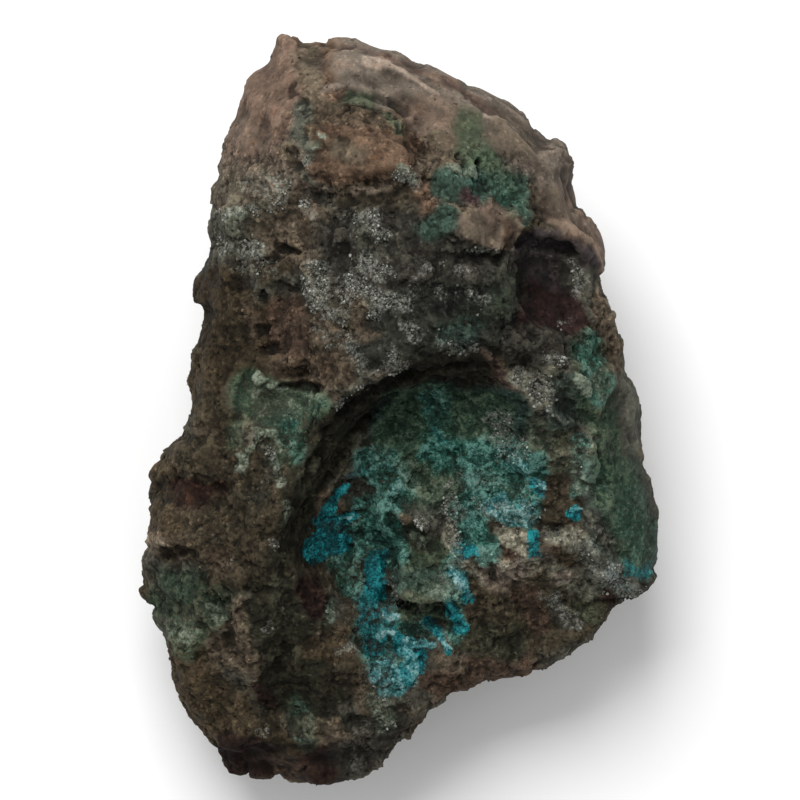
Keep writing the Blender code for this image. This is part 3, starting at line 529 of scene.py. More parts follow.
    ("bank_east", "moss_grey", [(23.1, -18.7), (24.1, -20.0)], 0.9, 0.8),
    ("sole_grey", "smoke", [(19.3, -24.7), (20.6, -26.2)], 1.0, 0.9),
    ("corner_pale", "ash", [(26.3, -21.0), (28.6, -22.5)], 0.9, 0.8),
    ("hip_corner", "heel_brown", [(-30.4, -6.7), (-28.9, -8.0)], 0.9, 0.8),
    ("wall_foot", "coal", [(-11.9, -13.5), (-11.2, -15.7)], 0.9, 0.8),
    ("wall_fold", "coal", [(-9.2, -8.5), (-8.0, -7.2)], 0.8, 0.6),
    ("toe_dark", "bark", [(-16.2, -41.2), (-14.4, -42.2)], 1.0, 0.9),
    ("step_pink", "pinkish", [(10.1, -20.7), (12.6, -21.4), (14.6, -20.9)], 0.9, 0.6, "bright"),
    ("step_east", "pinkish", [(19.3, -22.0), (20.1, -21.0)], 0.6, 0.6, "fair"),
    ("sole_wine", "russet", [(15.3, -24.0), (16.8, -27.0)], 1.0, 1.0, "fair"),
    ("slope_brown", "moss_grey", [(24.8, -14.2), (26.3, -17.0)], 1.1, 0.9),
    ("slope_dark", "slate", [(25.1, -11.5), (25.7, -13.5)], 0.9, 0.8),
    ("hole_ground", "umber", [(-13.9, 32.0), (-12.9, 31.5)], 0.8, 0.8),
    ("root_dark", "dark_rust", [(-11.2, 35.0), (-11.1, 34.3)], 0.5, 0.5),
    ("rim_strip", "umber", [(25.1, 12.8), (26.2, 8.8), (27.2, 5.5)], 0.8, 0.6),
    ("left_slate", "smoke", [(-22.7, 21.8), (-21.2, 20.5)], 1.4, 1.0),
    ("ledge_pale", "smoke", [(-4.7, 21.3), (-1.9, 20.0)], 1.4, 1.1),
)

# Strokes of each growth and mark, and how much of the place each one takes.
Growth = namedtuple("Growth", "name line reach edge share")
GROWTHS = {}
GROWTHS["blue"] = listed(
    Growth,
    ("upper_edge", [(-9.8, -13.6), (-8.8, -12.4), (-8.0, -11.4), (-7.1, -10.5)], 0.5, 0.4, 0.95),
    ("upper_strip", [(-8.9, -13.6), (-6.2, -14.0)], 0.5, 0.4, 0.9),
    ("upper_deep", [(-9.9, -15.0), (-7.5, -15.1)], 0.6, 0.5, 0.6),
    ("bright_block", [(-11.1, -18.0), (-9.7, -17.1), (-7.8, -17.4)], 1.4, 0.5, 1.0),
    ("upper_column", [(-3.3, -19.2), (-3.1, -23.7)], 0.9, 0.5, 0.85),
    ("lower_column", [(-4.2, -25.0), (-3.7, -30.7)], 0.8, 0.7, 0.55),
    ("column_east", [(-1.9, -25.2), (-0.8, -30.5)], 0.9, 0.8, 0.45),
    ("crevice_end", [(3.5, -27.0), (4.7, -28.1)], 0.5, 0.4, 0.85),
    ("flaky_bank", [(0.0, -29.5), (2.0, -30.5), (1.6, -32.5), (0.0, -34.7)], 1.0, 0.8, 0.85),
    ("flaky_foot", [(-3.0, -33.2), (-1.2, -35.2)], 0.9, 0.8, 0.6),
    ("east_edge", [(7.3, -17.4), (8.6, -18.7)], 0.7, 0.5, 0.8),
    ("east_low", [(7.3, -21.7), (8.2, -24.2)], 0.5, 0.5, 0.85),
    ("east_spot", [(6.7, -25.7), (7.3, -27.7)], 0.6, 0.4, 1.0),
    ("step_spot", [(16.4, -15.9), (16.6, -18.6)], 0.6, 0.4, 1.0),
    ("rim_spot", [(16.6, -9.2), (17.4, -10.5)], 0.6, 0.5, 0.7),
    ("north_spot", [(14.1, -11.7), (15.8, -12.5)], 0.6, 0.7, 0.55),
    ("side_spot", [(21.4, -13.2), (22.3, -13.7)], 0.6, 0.4, 1.0),
    ("east_crack", [(4.8, -29.2), (5.9, -30.5)], 0.3, 0.5, 0.8),
    ("slope_spot", [(28.9, -19.5), (30.6, -20.4)], 0.7, 0.7, 0.5),
    ("slope_line", [(25.1, -3.2), (25.3, -5.7)], 0.2, 0.5, 0.2),
    ("west_veil", [(-6.0, -9.0), (-4.7, -8.2)], 0.5, 0.8, 0.35),
    ("foot_veil", [(3.5, 0.3), (4.3, -3.7)], 0.6, 1.1, 0.35),
)
GROWTHS["teal"] = listed(
    Growth,
    ("floor_west", [(-3.5, -7.2), (-1.2, -8.0), (-1.2, -11.5)], 1.5, 2.0, 0.72),
    ("floor_west_low", [(-3.7, -12.7), (-1.9, -15.5)], 1.4, 1.8, 0.8),
    ("floor_upper", [(4.8, -6.2), (12.3, -6.1), (15.6, -7.2)], 1.4, 2.0, 0.9),
    ("floor_east", [(9.8, -10.5), (15.1, -10.5)], 1.6, 2.0, 0.85),
    ("floor_band", [(7.5, -12.7), (15.3, -13.7)], 1.1, 1.6, 0.8),
    ("east_low", [(8.3, -15.2), (10.1, -18.0)], 1.1, 1.4, 1.0),
    ("west_low", [(-6.2, -16.7), (-1.4, -18.2)], 1.4, 2.0, 0.75),
    ("floor_centre", [(4.8, 0.3), (4.3, -3.7)], 1.1, 2.4, 0.55),
    ("under_blue", [(-8.2, -19.2), (-3.5, -25.0), (-3.2, -31.1), (0.4, -32.7)], 1.4, 1.6, 0.55),
    ("crevice_bank", [(-0.2, -27.7), (3.0, -28.2)], 0.9, 1.2, 0.8),
    ("east_column", [(6.8, -19.9), (7.0, -28.2)], 0.8, 1.2, 0.7),
    ("ledge_spot", [(5.5, 24.0), (4.3, 22.0)], 0.8, 1.6, 0.14),
    ("ledge_bright", [(10.8, 27.0), (13.3, 25.8)], 0.9, 1.8, 0.28),
    ("ledge_corner", [(13.3, 24.3), (14.3, 22.8)], 0.6, 1.6, 0.12),
    ("ledge_band", [(6.0, 28.5), (9.8, 28.4)], 0.5, 1.0, 0.15),
    ("slope_upper", [(23.1, 8.5), (24.1, 5.3), (24.8, 1.5)], 0.9, 1.6, 0.5),
    ("slope_mid", [(24.3, -7.0), (24.7, -10.0)], 0.6, 1.2, 0.25),
    ("slope_lower", [(28.6, -11.7), (30.3, -17.4), (31.1, -20.0)], 1.1, 2.0, 0.3),
    ("side_teal", [(21.6, -4.7), (21.8, -10.5)], 0.7, 1.2, 0.5),
    ("scallop_low", [(-14.9, -2.5), (-13.2, -5.5)], 1.2, 1.8, 0.45),
    ("scallop_fold", [(-17.7, -2.0), (-13.9, -1.9)], 0.3, 0.8, 0.4),
    ("scallop_edge", [(-12.7, -0.7), (-10.4, 0.0)], 0.7, 1.6, 0.3),
    ("shin_spot", [(-9.4, -25.2), (-9.2, -26.5)], 0.7, 1.2, 0.35),
    ("toe_spot", [(-12.7, -38.2), (-12.2, -40.7)], 0.8, 1.8, 0.3),
    ("lip_veil", [(6.0, 8.9), (8.6, 9.5)], 1.1, 2.4, 0.3),
    ("hip_veil", [(-27.9, -20.0), (-27.7, -22.7)], 0.6, 1.6, 0.15),
)
GROWTHS["green"] = listed(
    Growth,
    ("scallop", [(-18.9, 1.5), (-13.2, -0.2), (-14.4, -5.0)], 2.1, 2.0, 0.65),
    ("scallop_tip", [(-12.7, 0.5), (-10.4, -0.4)], 0.9, 1.4, 0.6),
    ("floor_north", [(1.1, -0.2), (6.0, 0.3), (11.1, -1.7)], 1.7, 2.0, 0.85),
    ("floor_mid", [(-0.7, -3.7), (8.6, -4.0)], 1.4, 2.0, 0.85),
    ("floor_green", [(1.1, -8.5), (4.8, -9.7)], 1.8, 2.0, 0.9),
    ("floor_lump", [(0.0, -11.7), (4.8, -11.7)], 1.1, 2.0, 0.35),
    ("lump", [(-0.2, -18.0), (4.8, -19.2), (2.9, -21.7)], 2.2, 2.0, 0.5),
    ("crevice", [(0.0, -25.2), (5.5, -25.7)], 0.6, 1.2, 0.8),
    ("face_moss", [(8.3, 34.5), (10.1, 31.0)], 1.2, 1.8, 0.3),
    ("moss_tail", [(10.6, 30.8), (12.6, 29.3), (13.9, 24.8)], 0.8, 1.6, 0.5),
    ("plate_moss", [(-7.0, 39.0), (-3.2, 38.4), (-0.5, 36.5), (0.2, 34.3)], 0.7, 1.0, 0.18),
    ("pebble_moss", [(-12.2, 36.8), (-11.2, 33.5)], 0.7, 1.6, 0.2),
    ("slope", [(23.3, 7.6), (24.3, 0.8), (26.1, -9.2), (29.3, -18.0)], 1.5, 2.0, 0.7),
    ("slope_deep", [(27.3, -8.0), (29.8, -14.2)], 1.1, 2.0, 0.4),
    ("side_green", [(17.3, -4.2), (20.6, -6.7)], 1.4, 2.4, 0.5),
    ("hip_moss", [(-28.7, -23.7), (-24.2, -25.0), (-26.9, -28.2)], 2.0, 2.4, 0.6),
    ("hip_moss_top", [(-29.2, -20.7), (-27.2, -21.2)], 0.9, 1.8, 0.3),
    ("left_moss", [(-21.7, 25.8), (-17.4, 27.3), (-19.4, 21.3)], 2.0, 3.2, 0.3),
    ("ledge_moss", [(12.3, 16.3), (13.1, 13.8), (8.6, 11.3)], 1.6, 2.8, 0.3),
    ("toe_moss", [(-12.9, -37.2), (-12.2, -41.0)], 1.1, 2.0, 0.4),
    ("scallop_rim", [(-20.2, 1.0), (-21.2, -4.2)], 0.7, 1.6, 0.45),
    ("shin_moss", [(-7.7, -21.7), (-6.5, -22.7)], 0.9, 1.6, 0.45),
    ("sole_moss", [(22.6, -24.7), (23.8, -25.7)], 1.0, 1.6, 0.4),
)
GROWTHS["sage"] = listed(
    Growth,
    ("scallop", [(-16.9, 1.3), (-13.2, 0.8), (-16.7, -0.7)], 1.6, 2.0, 0.5),
    ("scallop_vein", [(-17.9, -3.5), (-16.2, -3.7), (-15.4, -5.0)], 0.3, 0.8, 0.7),
    ("scallop_line", [(-18.2, -4.7), (-19.7, -6.2), (-20.2, -8.0)], 0.3, 0.8, 0.6),
    ("scallop_chip", [(-17.8, 4.0), (-17.6, 3.3)], 0.2, 0.4, 0.7),
    ("scallop_drop", [(-15.4, -7.0), (-15.2, -9.7)], 0.3, 0.8, 0.55),
    ("pebble", [(-10.2, 33.4), (-9.6, 33.3)], 0.2, 0.4, 1.0),
    ("pebble_west", [(-11.3, 32.4), (-10.7, 32.6)], 0.2, 0.4, 0.5),
    ("moss_edge", [(-5.7, 38.5), (-3.7, 38.3)], 0.2, 0.6, 0.2),
    ("mint_edge", [(6.0, 29.8), (9.6, 29.3)], 0.3, 0.8, 0.5),
    ("lump_top", [(-0.8, -23.0), (-0.7, -20.2)], 0.6, 1.2, 0.25),
    ("lump_flank", [(3.5, -22.5), (6.0, -23.0)], 0.7, 1.4, 0.5),
    ("lump_spot", [(1.6, -16.7), (2.2, -17.0)], 0.3, 0.8, 0.6),
    ("floor_lump", [(0.8, -8.0), (3.5, -10.2)], 0.9, 1.8, 0.45),
    ("north_pale", [(12.8, -10.2), (14.8, -11.0)], 0.7, 1.2, 0.4),
    ("floor_pale", [(10.3, -2.5), (11.9, -4.0)], 0.8, 1.4, 0.45),
    ("hip_pale", [(-28.4, -28.2), (-26.7, -29.0)], 0.9, 1.6, 0.5),
    ("hip_pale_top", [(-24.4, -25.7), (-22.7, -26.0)], 0.8, 1.4, 0.45),
    ("toe_pale", [(-3.2, -36.2), (-2.2, -39.5)], 0.8, 1.6, 0.55),
    ("slope_line", [(24.2, 3.8), (24.8, 1.5)], 0.3, 0.7, 0.6),
    ("lump_cap", [(22.1, 3.0), (22.9, 2.0)], 0.5, 0.6, 0.95),
    ("slope_pale", [(24.6, -8.0), (24.8, -10.0)], 0.3, 0.8, 0.3),
    ("side_sage", [(21.1, -8.2), (22.3, -10.2)], 0.7, 1.2, 0.5),
    ("plate_tip", [(0.0, 30.0), (1.3, 28.3)], 0.6, 0.6, 0.75),
    ("left_pale", [(-21.9, 23.8), (-19.7, 24.1)], 0.3, 1.0, 0.5),
    ("shin_pale", [(-9.2, -25.2), (-9.2, -26.5)], 0.7, 1.0, 0.45),
    ("shin_line", [(-14.4, -12.0), (-14.2, -14.5)], 0.3, 0.8, 0.4),
    ("bank", [(19.3, -16.5), (22.3, -16.7)], 0.7, 1.2, 0.4),
    ("foot_sage", [(-3.0, -33.5), (-0.7, -35.7)], 0.8, 1.2, 0.45),
)
GROWTHS["ice"] = listed(
    Growth,
    ("column_flake", [(-2.1, -25.9), (-0.5, -26.2)], 0.2, 0.3, 0.95),
    ("column_flake_low", [(-3.1, -28.5), (-1.2, -28.4)], 0.3, 0.3, 0.95),
    ("bank_flake", [(0.7, -29.2), (3.3, -30.0)], 0.5, 0.5, 0.75),
    ("bank_ice", [(0.8, -30.5), (1.3, -33.7)], 0.9, 0.9, 0.4),
    ("floor_ice", [(12.8, -6.0), (14.8, -7.5)], 0.9, 0.9, 0.4),
    ("corner_ice", [(26.8, -21.2), (28.8, -22.5)], 0.7, 0.8, 0.4),
    ("crack_flake", [(4.9, -29.5), (5.7, -30.0)], 0.3, 0.4, 0.6),
    ("foot_flake", [(-2.2, -32.2), (-0.7, -35.5)], 0.7, 0.7, 0.5),
    ("tail_flake", [(-3.3, -34.2), (-2.2, -36.0)], 0.6, 0.5, 0.55),
    ("east_flake", [(7.9, -22.5), (8.3, -23.9)], 0.3, 0.4, 0.6),
    ("east_flake_top", [(6.7, -20.7), (7.4, -22.2)], 0.5, 0.5, 0.7),
    ("north_flakes", [(11.8, -12.5), (13.3, -14.5), (15.3, -13.7)], 1.0, 0.9, 0.55),
    ("rim_flake", [(16.9, -9.4), (17.6, -10.2)], 0.3, 0.3, 0.8),
    ("side_flake", [(21.8, -13.0), (22.2, -13.1)], 0.2, 0.3, 0.6),
    ("west_flake", [(-1.2, -8.2), (-0.5, -10.7)], 0.5, 0.8, 0.35),
    ("strip_flake", [(-7.2, -13.7), (-6.2, -14.0)], 0.2, 0.3, 0.5),
)
GROWTHS["frost"] = listed(
    Growth,
    ("plate_tip", [(0.3, 29.8), (1.6, 28.0)], 0.8, 0.6, 1.0),
    ("left_upper", [(-18.7, 28.3), (-15.7, 27.3), (-15.7, 25.5)], 1.2, 1.3, 0.6),
    ("left_line", [(-23.4, 24.4), (-21.9, 23.6), (-20.2, 24.3), (-17.9, 24.6)], 0.3, 0.5, 0.85),
    ("left_low", [(-22.2, 20.3), (-19.7, 19.9), (-17.7, 19.3)], 0.7, 0.8, 0.75),
    ("left_foot", [(-18.9, 17.5), (-16.7, 16.8)], 0.7, 0.8, 0.65),
    ("left_vein", [(-15.1, 27.8), (-14.7, 25.5)], 0.3, 0.7, 0.7),
    ("hole_spot", [(-12.6, 30.8), (-11.8, 30.4)], 0.3, 0.5, 0.8),
    ("brown_spot", [(-12.1, 25.3), (-11.2, 24.3)], 0.5, 0.7, 0.6),
    ("west_cap", [(-11.8, 17.6), (-10.1, 17.1)], 0.5, 0.7, 0.95),
    ("west_cluster", [(-12.2, 15.8), (-11.2, 14.3), (-10.4, 12.5)], 0.7, 0.8, 1.0),
    ("west_side", [(-9.9, 15.4), (-9.4, 14.4)], 0.6, 0.7, 1.0),
    ("west_tail", [(-10.2, 12.3), (-8.7, 11.3), (-7.2, 10.8)], 0.7, 1.0, 0.85),
    ("west_foot", [(-9.9, 9.3), (-8.4, 7.5), (-6.5, 8.0)], 0.7, 1.0, 0.6),
    ("centre_cluster", [(-6.5, 15.5), (-5.7, 14.5), (-6.7, 13.3)], 0.7, 1.0, 0.85),
    ("centre_cap", [(-4.2, 18.0), (-2.7, 17.0)], 0.7, 0.8, 0.75),
    ("centre_upper", [(-4.5, 23.8), (-2.2, 21.3)], 0.7, 1.0, 0.6),
    ("east_cluster", [(-4.5, 14.5), (-2.7, 13.0), (-3.0, 11.8)], 0.7, 1.0, 0.9),
    ("east_streak", [(-1.7, 13.3), (1.1, 11.8)], 0.7, 1.0, 0.65),
    ("east_foot", [(0.8, 9.3), (1.6, 8.3)], 0.6, 0.8, 0.75),
    ("mid_streak", [(-5.8, 6.3), (-4.6, 5.0)], 0.6, 0.8, 0.55),
    ("lip_mid", [(-1.7, 5.8), (-0.7, 6.8)], 0.5, 0.8, 0.6),
    ("lip_line", [(5.5, 7.4), (9.1, 7.6)], 0.5, 0.8, 0.6),
    ("ledge_blob", [(1.8, 15.5), (3.5, 17.3)], 0.5, 0.8, 0.55),
    ("block_foot", [(7.8, 19.5), (10.1, 19.3)], 0.3, 0.5, 0.8),
    ("block_foot_east", [(10.8, 19.5), (11.6, 19.4)], 0.3, 0.5, 0.7),
    ("ledge_flecks", [(7.0, 17.3), (8.8, 16.8)], 0.3, 0.8, 0.55),
    ("ledge_flecks_low", [(8.6, 14.0), (10.3, 13.5)], 0.5, 0.8, 0.55),
    ("ledge_flecks_west", [(5.0, 14.4), (6.5, 13.8)], 0.5, 0.8, 0.45),
    ("lip_west", [(-7.7, 0.5), (-6.5, 1.8), (-3.7, 3.6), (0.8, 5.8)], 0.3, 0.6, 0.65),
    ("pit_bank", [(21.7, 17.8), (22.6, 16.5), (22.2, 14.3)], 0.5, 0.7, 0.75),
    ("pit_spots", [(16.3, 19.6), (19.4, 18.5)], 0.2, 0.5, 0.5),
    ("pit_foot", [(19.8, 9.9), (21.6, 11.0)], 0.5, 0.8, 0.5),
    ("pale_bank", [(15.3, 4.3), (16.8, 3.5), (17.3, 1.8)], 1.0, 1.0, 0.9),
    ("bank_low", [(16.8, 0.8), (18.1, -0.7)], 0.6, 1.0, 0.5),
    ("lump_ring", [(18.6, 0.1), (18.9, -0.9), (19.6, -1.5)], 0.2, 0.3, 1.0),
    ("stain_foot", [(11.6, -1.7), (12.8, -2.2), (12.3, -3.7)], 0.7, 0.8, 0.8),
    ("bank_top", [(18.8, 6.0), (20.6, 5.0)], 0.7, 0.8, 0.75),
    ("floor_specks", [(13.1, -5.5), (15.3, -4.7)], 0.8, 1.3, 0.6),
    ("floor_cluster", [(6.8, -12.0), (7.8, -13.5)], 0.6, 0.8, 0.85),
    ("floor_cluster_east", [(9.1, -11.7), (10.1, -12.5)], 0.3, 0.7, 0.4),
    ("floor_east", [(11.8, -14.2), (15.3, -13.0)], 1.2, 1.3, 0.55),
    ("lump_flake", [(4.9, -13.1), (6.2, -14.1)], 0.3, 0.4, 1.0),
    ("lump_blob", [(2.2, -14.2), (2.8, -15.1)], 0.5, 0.5, 1.0),
    ("lump_fleck", [(4.8, -21.0), (5.8, -21.7)], 0.4, 0.7, 0.7),
    ("lump_foot", [(-1.2, -22.5), (-0.7, -24.5)], 0.5, 0.7, 0.6),
    ("crevice_fleck", [(2.2, -25.7), (2.4, -26.0)], 0.2, 0.3, 0.8),
    ("tan_step", [(10.8, -19.2), (14.8, -20.0)], 1.2, 1.3, 0.35),
    ("sand_step", [(18.3, -16.0), (23.1, -17.0)], 0.7, 0.8, 0.6),
    ("sole_spot", [(19.3, -24.5), (21.1, -26.5)], 0.7, 1.0, 0.7),
    ("sole_edge_spot", [(17.1, -23.5), (17.6, -24.0)], 0.3, 0.5, 0.6),
    ("rough_corner", [(26.8, -21.0), (28.8, -23.0)], 1.0, 1.1, 0.85),
    ("rough_west", [(24.6, -20.5), (25.6, -22.5)], 0.8, 1.1, 0.6),
    ("rough_edge", [(23.3, -18.2), (23.8, -20.5)], 0.6, 1.0, 0.55),
    ("side_pale", [(21.3, -6.2), (22.3, -8.0)], 0.5, 0.8, 0.5),
    ("shin_spot", [(-7.5, -30.5), (-7.1, -31.0)], 0.3, 0.5, 0.8),
    ("shin_spot_east", [(-6.5, -30.0), (-5.7, -30.7)], 0.3, 0.5, 0.8),
    ("shin_fleck", [(-17.2, -28.0), (-16.2, -27.0)], 0.2, 0.5, 0.6),
    ("hip_flecks", [(-23.7, -16.2), (-22.4, -17.0)], 0.3, 0.5, 0.6),
    ("hip_fleck_low", [(-21.7, -19.7), (-21.2, -20.1)], 0.2, 0.4, 0.7),
    ("waist_fleck", [(-15.8, -17.0), (-15.3, -17.7)], 0.3, 0.4, 0.8),
    ("heel_fleck", [(-17.9, -40.2), (-16.7, -40.7)], 0.3, 0.5, 0.6),
    ("toe_specks", [(-3.2, -35.7), (-1.9, -39.5)], 0.7, 1.1, 0.5),
    ("toe_flecks", [(-6.0, -41.7), (-5.6, -44.5)], 0.3, 0.7, 0.5),
    ("scallop_fleck", [(-16.3, -5.5), (-16.1, -6.4)], 0.3, 0.4, 0.9),
    ("scallop_foot", [(-15.7, -7.1), (-15.1, -10.0)], 0.3, 0.7, 0.6),
    ("lump_side", [(5.7, -10.2), (6.4, -14.7), (6.9, -20.0)], 0.5, 0.8, 0.7),
    ("floor_white", [(7.0, -9.0), (10.8, -9.5)], 0.8, 1.3, 0.35),
    ("ledge_fan", [(-4.0, 24.3), (-2.5, 21.0)], 0.6, 0.8, 0.6),
    ("scallop_white", [(-19.4, -7.0), (-18.9, -7.5)], 0.2, 0.5, 0.5),
    ("ledge_dust", [(-8.9, 20.8), (-0.2, 15.8), (4.8, 13.3)], 3.8, 3.9, 0.22),
    ("hollow_dust", [(3.5, -11.7), (12.3, -9.2)], 3.8, 3.6, 0.18),
)
# Dark marks, partly dark dirt and stain but mostly painted shade: on the hollow's wall, under brows,
# ledges and plates, and in crevices, notches and gaps.
GROWTHS["dirt"] = listed(
    Growth,
    ("wall", [(-12.7, -11.5), (-10.4, -5.5), (-7.1, -1.4), (-3.7, 1.0), (0.4, 3.3),
        (9.1, 4.8)], 1.1, 1.2, 0.5),
    ("floor_shade", [(-0.7, -1.5), (1.1, 1.4), (5.3, 2.3), (9.8, 0.9)], 0.9, 1.5, 0.5),
    ("ledge_dark", [(5.8, 28.0), (6.8, 27.3)], 0.6, 0.8, 0.4),
    ("wall_top", [(-6.7, 0.3), (-3.7, 2.3), (0.4, 4.5), (4.8, 5.4), (9.6, 5.5)], 0.5, 0.6, 0.7),
    ("scallop_brow", [(-15.2, 2.6), (-12.7, 2.8), (-10.9, 2.4)], 0.2, 0.4, 0.6),
    ("crevice", [(0.0, -25.1), (2.8, -25.4), (5.5, -25.7)], 0.5, 0.6, 0.7),
    ("lump_gap", [(-1.7, -15.5), (0.0, -17.1), (2.0, -17.5)], 0.7, 0.9, 0.6),
    ("bank_gap", [(0.6, -27.7), (2.8, -27.7)], 0.5, 0.6, 0.6),
    ("floor_gap", [(-4.5, -19.2), (-3.5, -18.2)], 0.5, 0.6, 0.6),
    ("floor_mottle", [(-6.2, -17.0), (-1.7, -17.5)], 1.0, 1.2, 0.35),
    ("upper_gap", [(-9.4, -14.7), (-7.2, -14.9)], 0.3, 0.6, 0.45),
    ("block_under", [(-11.2, -20.0), (-7.1, -20.2)], 0.6, 0.9, 0.35),
    ("island_foot", [(-7.2, -12.7), (-5.2, -13.2)], 0.3, 0.4, 0.7),
    ("east_gap", [(7.5, -12.7), (9.8, -13.4)], 0.5, 0.6, 0.55),
    ("hip_notch", [(-28.9, -18.6), (-26.9, -18.2)], 0.5, 0.8, 0.3),
    ("plate_foot", [(-12.4, 26.4), (-7.0, 25.3), (-4.2, 26.0), (-0.5, 27.0), (1.6, 27.4)], 0.3, 0.6, 0.4),
    ("plate_side", [(1.3, 34.5), (2.5, 32.0), (2.9, 28.8)], 0.2, 0.6, 0.25),
    ("plate_hole", [(-13.8, 31.1), (-13.7, 29.8)], 0.3, 0.4, 0.6),
    ("moss_pit", [(9.7, 30.6), (9.8, 30.0)], 0.2, 0.3, 1.0),
    ("moss_crack", [(7.5, 31.1), (7.5, 30.0)], 0.1, 0.3, 0.8),
    ("moss_crescents", [(-7.0, 37.4), (-5.5, 37.8), (-4.5, 37.5), (-3.0, 36.9)], 0.2, 0.3, 0.8),
    ("moss_shadow", [(-0.6, 35.5), (0.3, 34.0)], 0.3, 0.4, 0.7),
    ("face_notch", [(-13.7, 40.3), (-13.4, 39.0)], 0.2, 0.4, 0.4),
    ("face_crease", [(-13.1, 45.0), (-12.9, 40.8)], 0.1, 0.4, 0.6),
    ("ledge_crevice", [(-7.2, 24.8), (-6.2, 22.3)], 0.7, 0.9, 0.5),
    ("ledge_crack", [(-3.2, 22.8), (-2.2, 21.0)], 0.2, 0.4, 0.6),
    ("left_notch", [(-17.2, 18.6), (-15.7, 18.6)], 0.2, 0.4, 0.8),
    ("plate_notch", [(-15.1, 19.6), (-13.4, 19.5)], 0.3, 0.4, 0.8),
    ("ledge_top", [(4.5, 18.5), (12.3, 18.4)], 0.4, 0.6, 0.6),
    ("pit_wall", [(14.9, 19.5), (15.2, 15.1), (16.3, 10.1)], 0.3, 0.8, 0.5),
    ("right_line", [(17.4, 25.8), (17.8, 23.6)], 0.3, 0.4, 0.6),
    ("block_foot", [(7.5, 19.0), (12.3, 18.8), (14.1, 20.5)], 0.2, 0.4, 0.5),
    ("ring_inside", [(19.4, 1.5), (19.9, -0.6), (21.3, -1.0)], 0.5, 0.4, 0.35),
    ("column_deep", [(-4.5, -25.0), (-3.7, -30.5)], 0.9, 0.9, 0.4),
    ("column_deep_east", [(-2.2, -27.0), (-0.7, -29.2)], 0.8, 0.9, 0.4),
    ("hip_moss", [(-28.7, -23.2), (-24.4, -24.7)], 2.0, 1.8, 0.4),
    ("south_pool", [(8.3, -15.2), (10.1, -17.7)], 0.9, 0.9, 0.25),
    ("stain_low", [(12.3, 0.8), (15.1, -0.5)], 0.4, 0.6, 0.5),
    ("ledge_front", [(1.1, 13.0), (12.3, 13.5), (13.1, 16.0)], 1.1, 1.5, 0.3),
    ("corner_edge", [(24.6, -25.0), (27.6, -24.4), (31.1, -22.7)], 0.3, 0.6, 0.5),
    ("waist_pit_top", [(-17.3, 13.3), (-16.8, 13.0)], 0.3, 0.6, 0.6),
    ("waist_pit", [(-17.6, 9.1), (-16.8, 9.0)], 0.5, 0.6, 0.6),
    ("waist_pit_low", [(-16.8, 7.4), (-16.1, 7.3)], 0.5, 0.6, 0.6),
    ("step_pits", [(11.1, -20.0), (11.3, -22.0)], 0.2, 0.4, 0.7),
    ("step_pit_top", [(12.7, -18.1), (13.8, -18.6)], 0.3, 0.4, 0.5),
    ("step_spot", [(13.1, -20.5), (13.3, -20.6)], 0.2, 0.3, 0.9),
    ("step_foot", [(17.9, -18.2), (22.6, -18.2)], 0.3, 0.6, 0.5),
    ("floor_edge", [(16.8, -5.5), (17.3, -8.7)], 0.3, 0.8, 0.5),
    ("shin_hollow", [(-17.9, -29.2), (-15.2, -29.2)], 0.6, 0.9, 0.35),
    ("toe_brow", [(-21.7, -42.2), (-17.4, -42.5), (-13.2, -42.2), (-8.9, -42.0)], 0.3, 0.8, 0.45),
)
GROWTHS["clean"] = listed(
    Growth,
    ("clay_face", [(-14.6, 43.5), (-16.7, 38.5), (-18.7, 35.8)], 2.8, 1.8, 0.9),
    ("corner_strips", [(-11.7, 44.3), (-8.4, 43.8)], 1.2, 1.2, 0.7),
    ("grey_face", [(-6.5, 43.3), (2.3, 39.3), (11.7, 36.0)], 2.8, 1.5, 1.0),
    ("face_rim", [(-7.7, 45.5), (4.8, 41.3), (16.1, 34.3)], 0.8, 0.8, 1.0),
    ("face_foot", [(2.5, 36.0), (5.5, 34.5)], 1.8, 1.2, 0.7),
    ("right_olive", [(17.1, 32.0), (19.3, 29.3)], 2.5, 1.5, 0.8),
    ("right_tan", [(19.8, 25.8), (22.8, 21.8), (24.1, 19.0)], 2.2, 1.2, 1.0),
    ("slope", [(26.3, 2.0), (27.8, -5.5), (29.8, -14.2), (30.8, -19.2)], 1.8, 1.8, 0.8),
    ("scallop", [(-18.9, 1.8), (-13.9, 0.3)], 2.8, 1.8, 0.9),
    ("plate", [(-8.7, 31.8), (-1.2, 31.8)], 2.2, 1.2, 0.7),
    ("block", [(8.8, 22.5), (12.3, 22.5)], 1.9, 0.9, 0.9),
    ("plate_back", [(-11.2, 40.8), (-8.9, 38.3)], 1.5, 1.0, 0.6),
    ("nose", [(19.8, 21.8), (23.6, 19.5)], 1.2, 1.0, 0.8),
    ("pit", [(18.3, 17.0), (19.1, 12.5)], 3.0, 1.0, 0.6),
    ("east_pool", [(8.3, -15.5), (9.8, -17.7)], 1.0, 0.8, 0.8),
    ("moss_face", [(7.9, 33.9), (9.8, 32.0)], 1.0, 1.0, 0.5),
    ("toe", [(-20.2, -43.7), (-8.9, -44.7)], 1.8, 1.5, 0.5),
    ("rim_east", [(27.6, 5.8), (29.3, -1.7), (31.3, -11.7)], 0.8, 1.0, 0.6),
)


def clouds(places, shift, size, low, high):
    """Loose clouds from 0 to 1 over the stone."""
    values = [noise.fractal(Vector(place) / size + shift, *CLOUD_NOISE) for place in places]
    return eased(np.array(values), low, high)


def lying(stroke):
    """Where a stroke lies. A thin one keeps closer to its line."""
    spots = relief_spots if stroke.reach < THIN else growth_spots
    return nearness(spots, stroke.line, stroke.reach, stroke.edge)


def washed(under, tint, cover, step="plain"):
    """The ground with a tint washed over it as far as cover says."""
    cover = cover[:, None]
    return under * (1 - cover) + np.array(TINTS[tint]) * STEPS[step] * cover


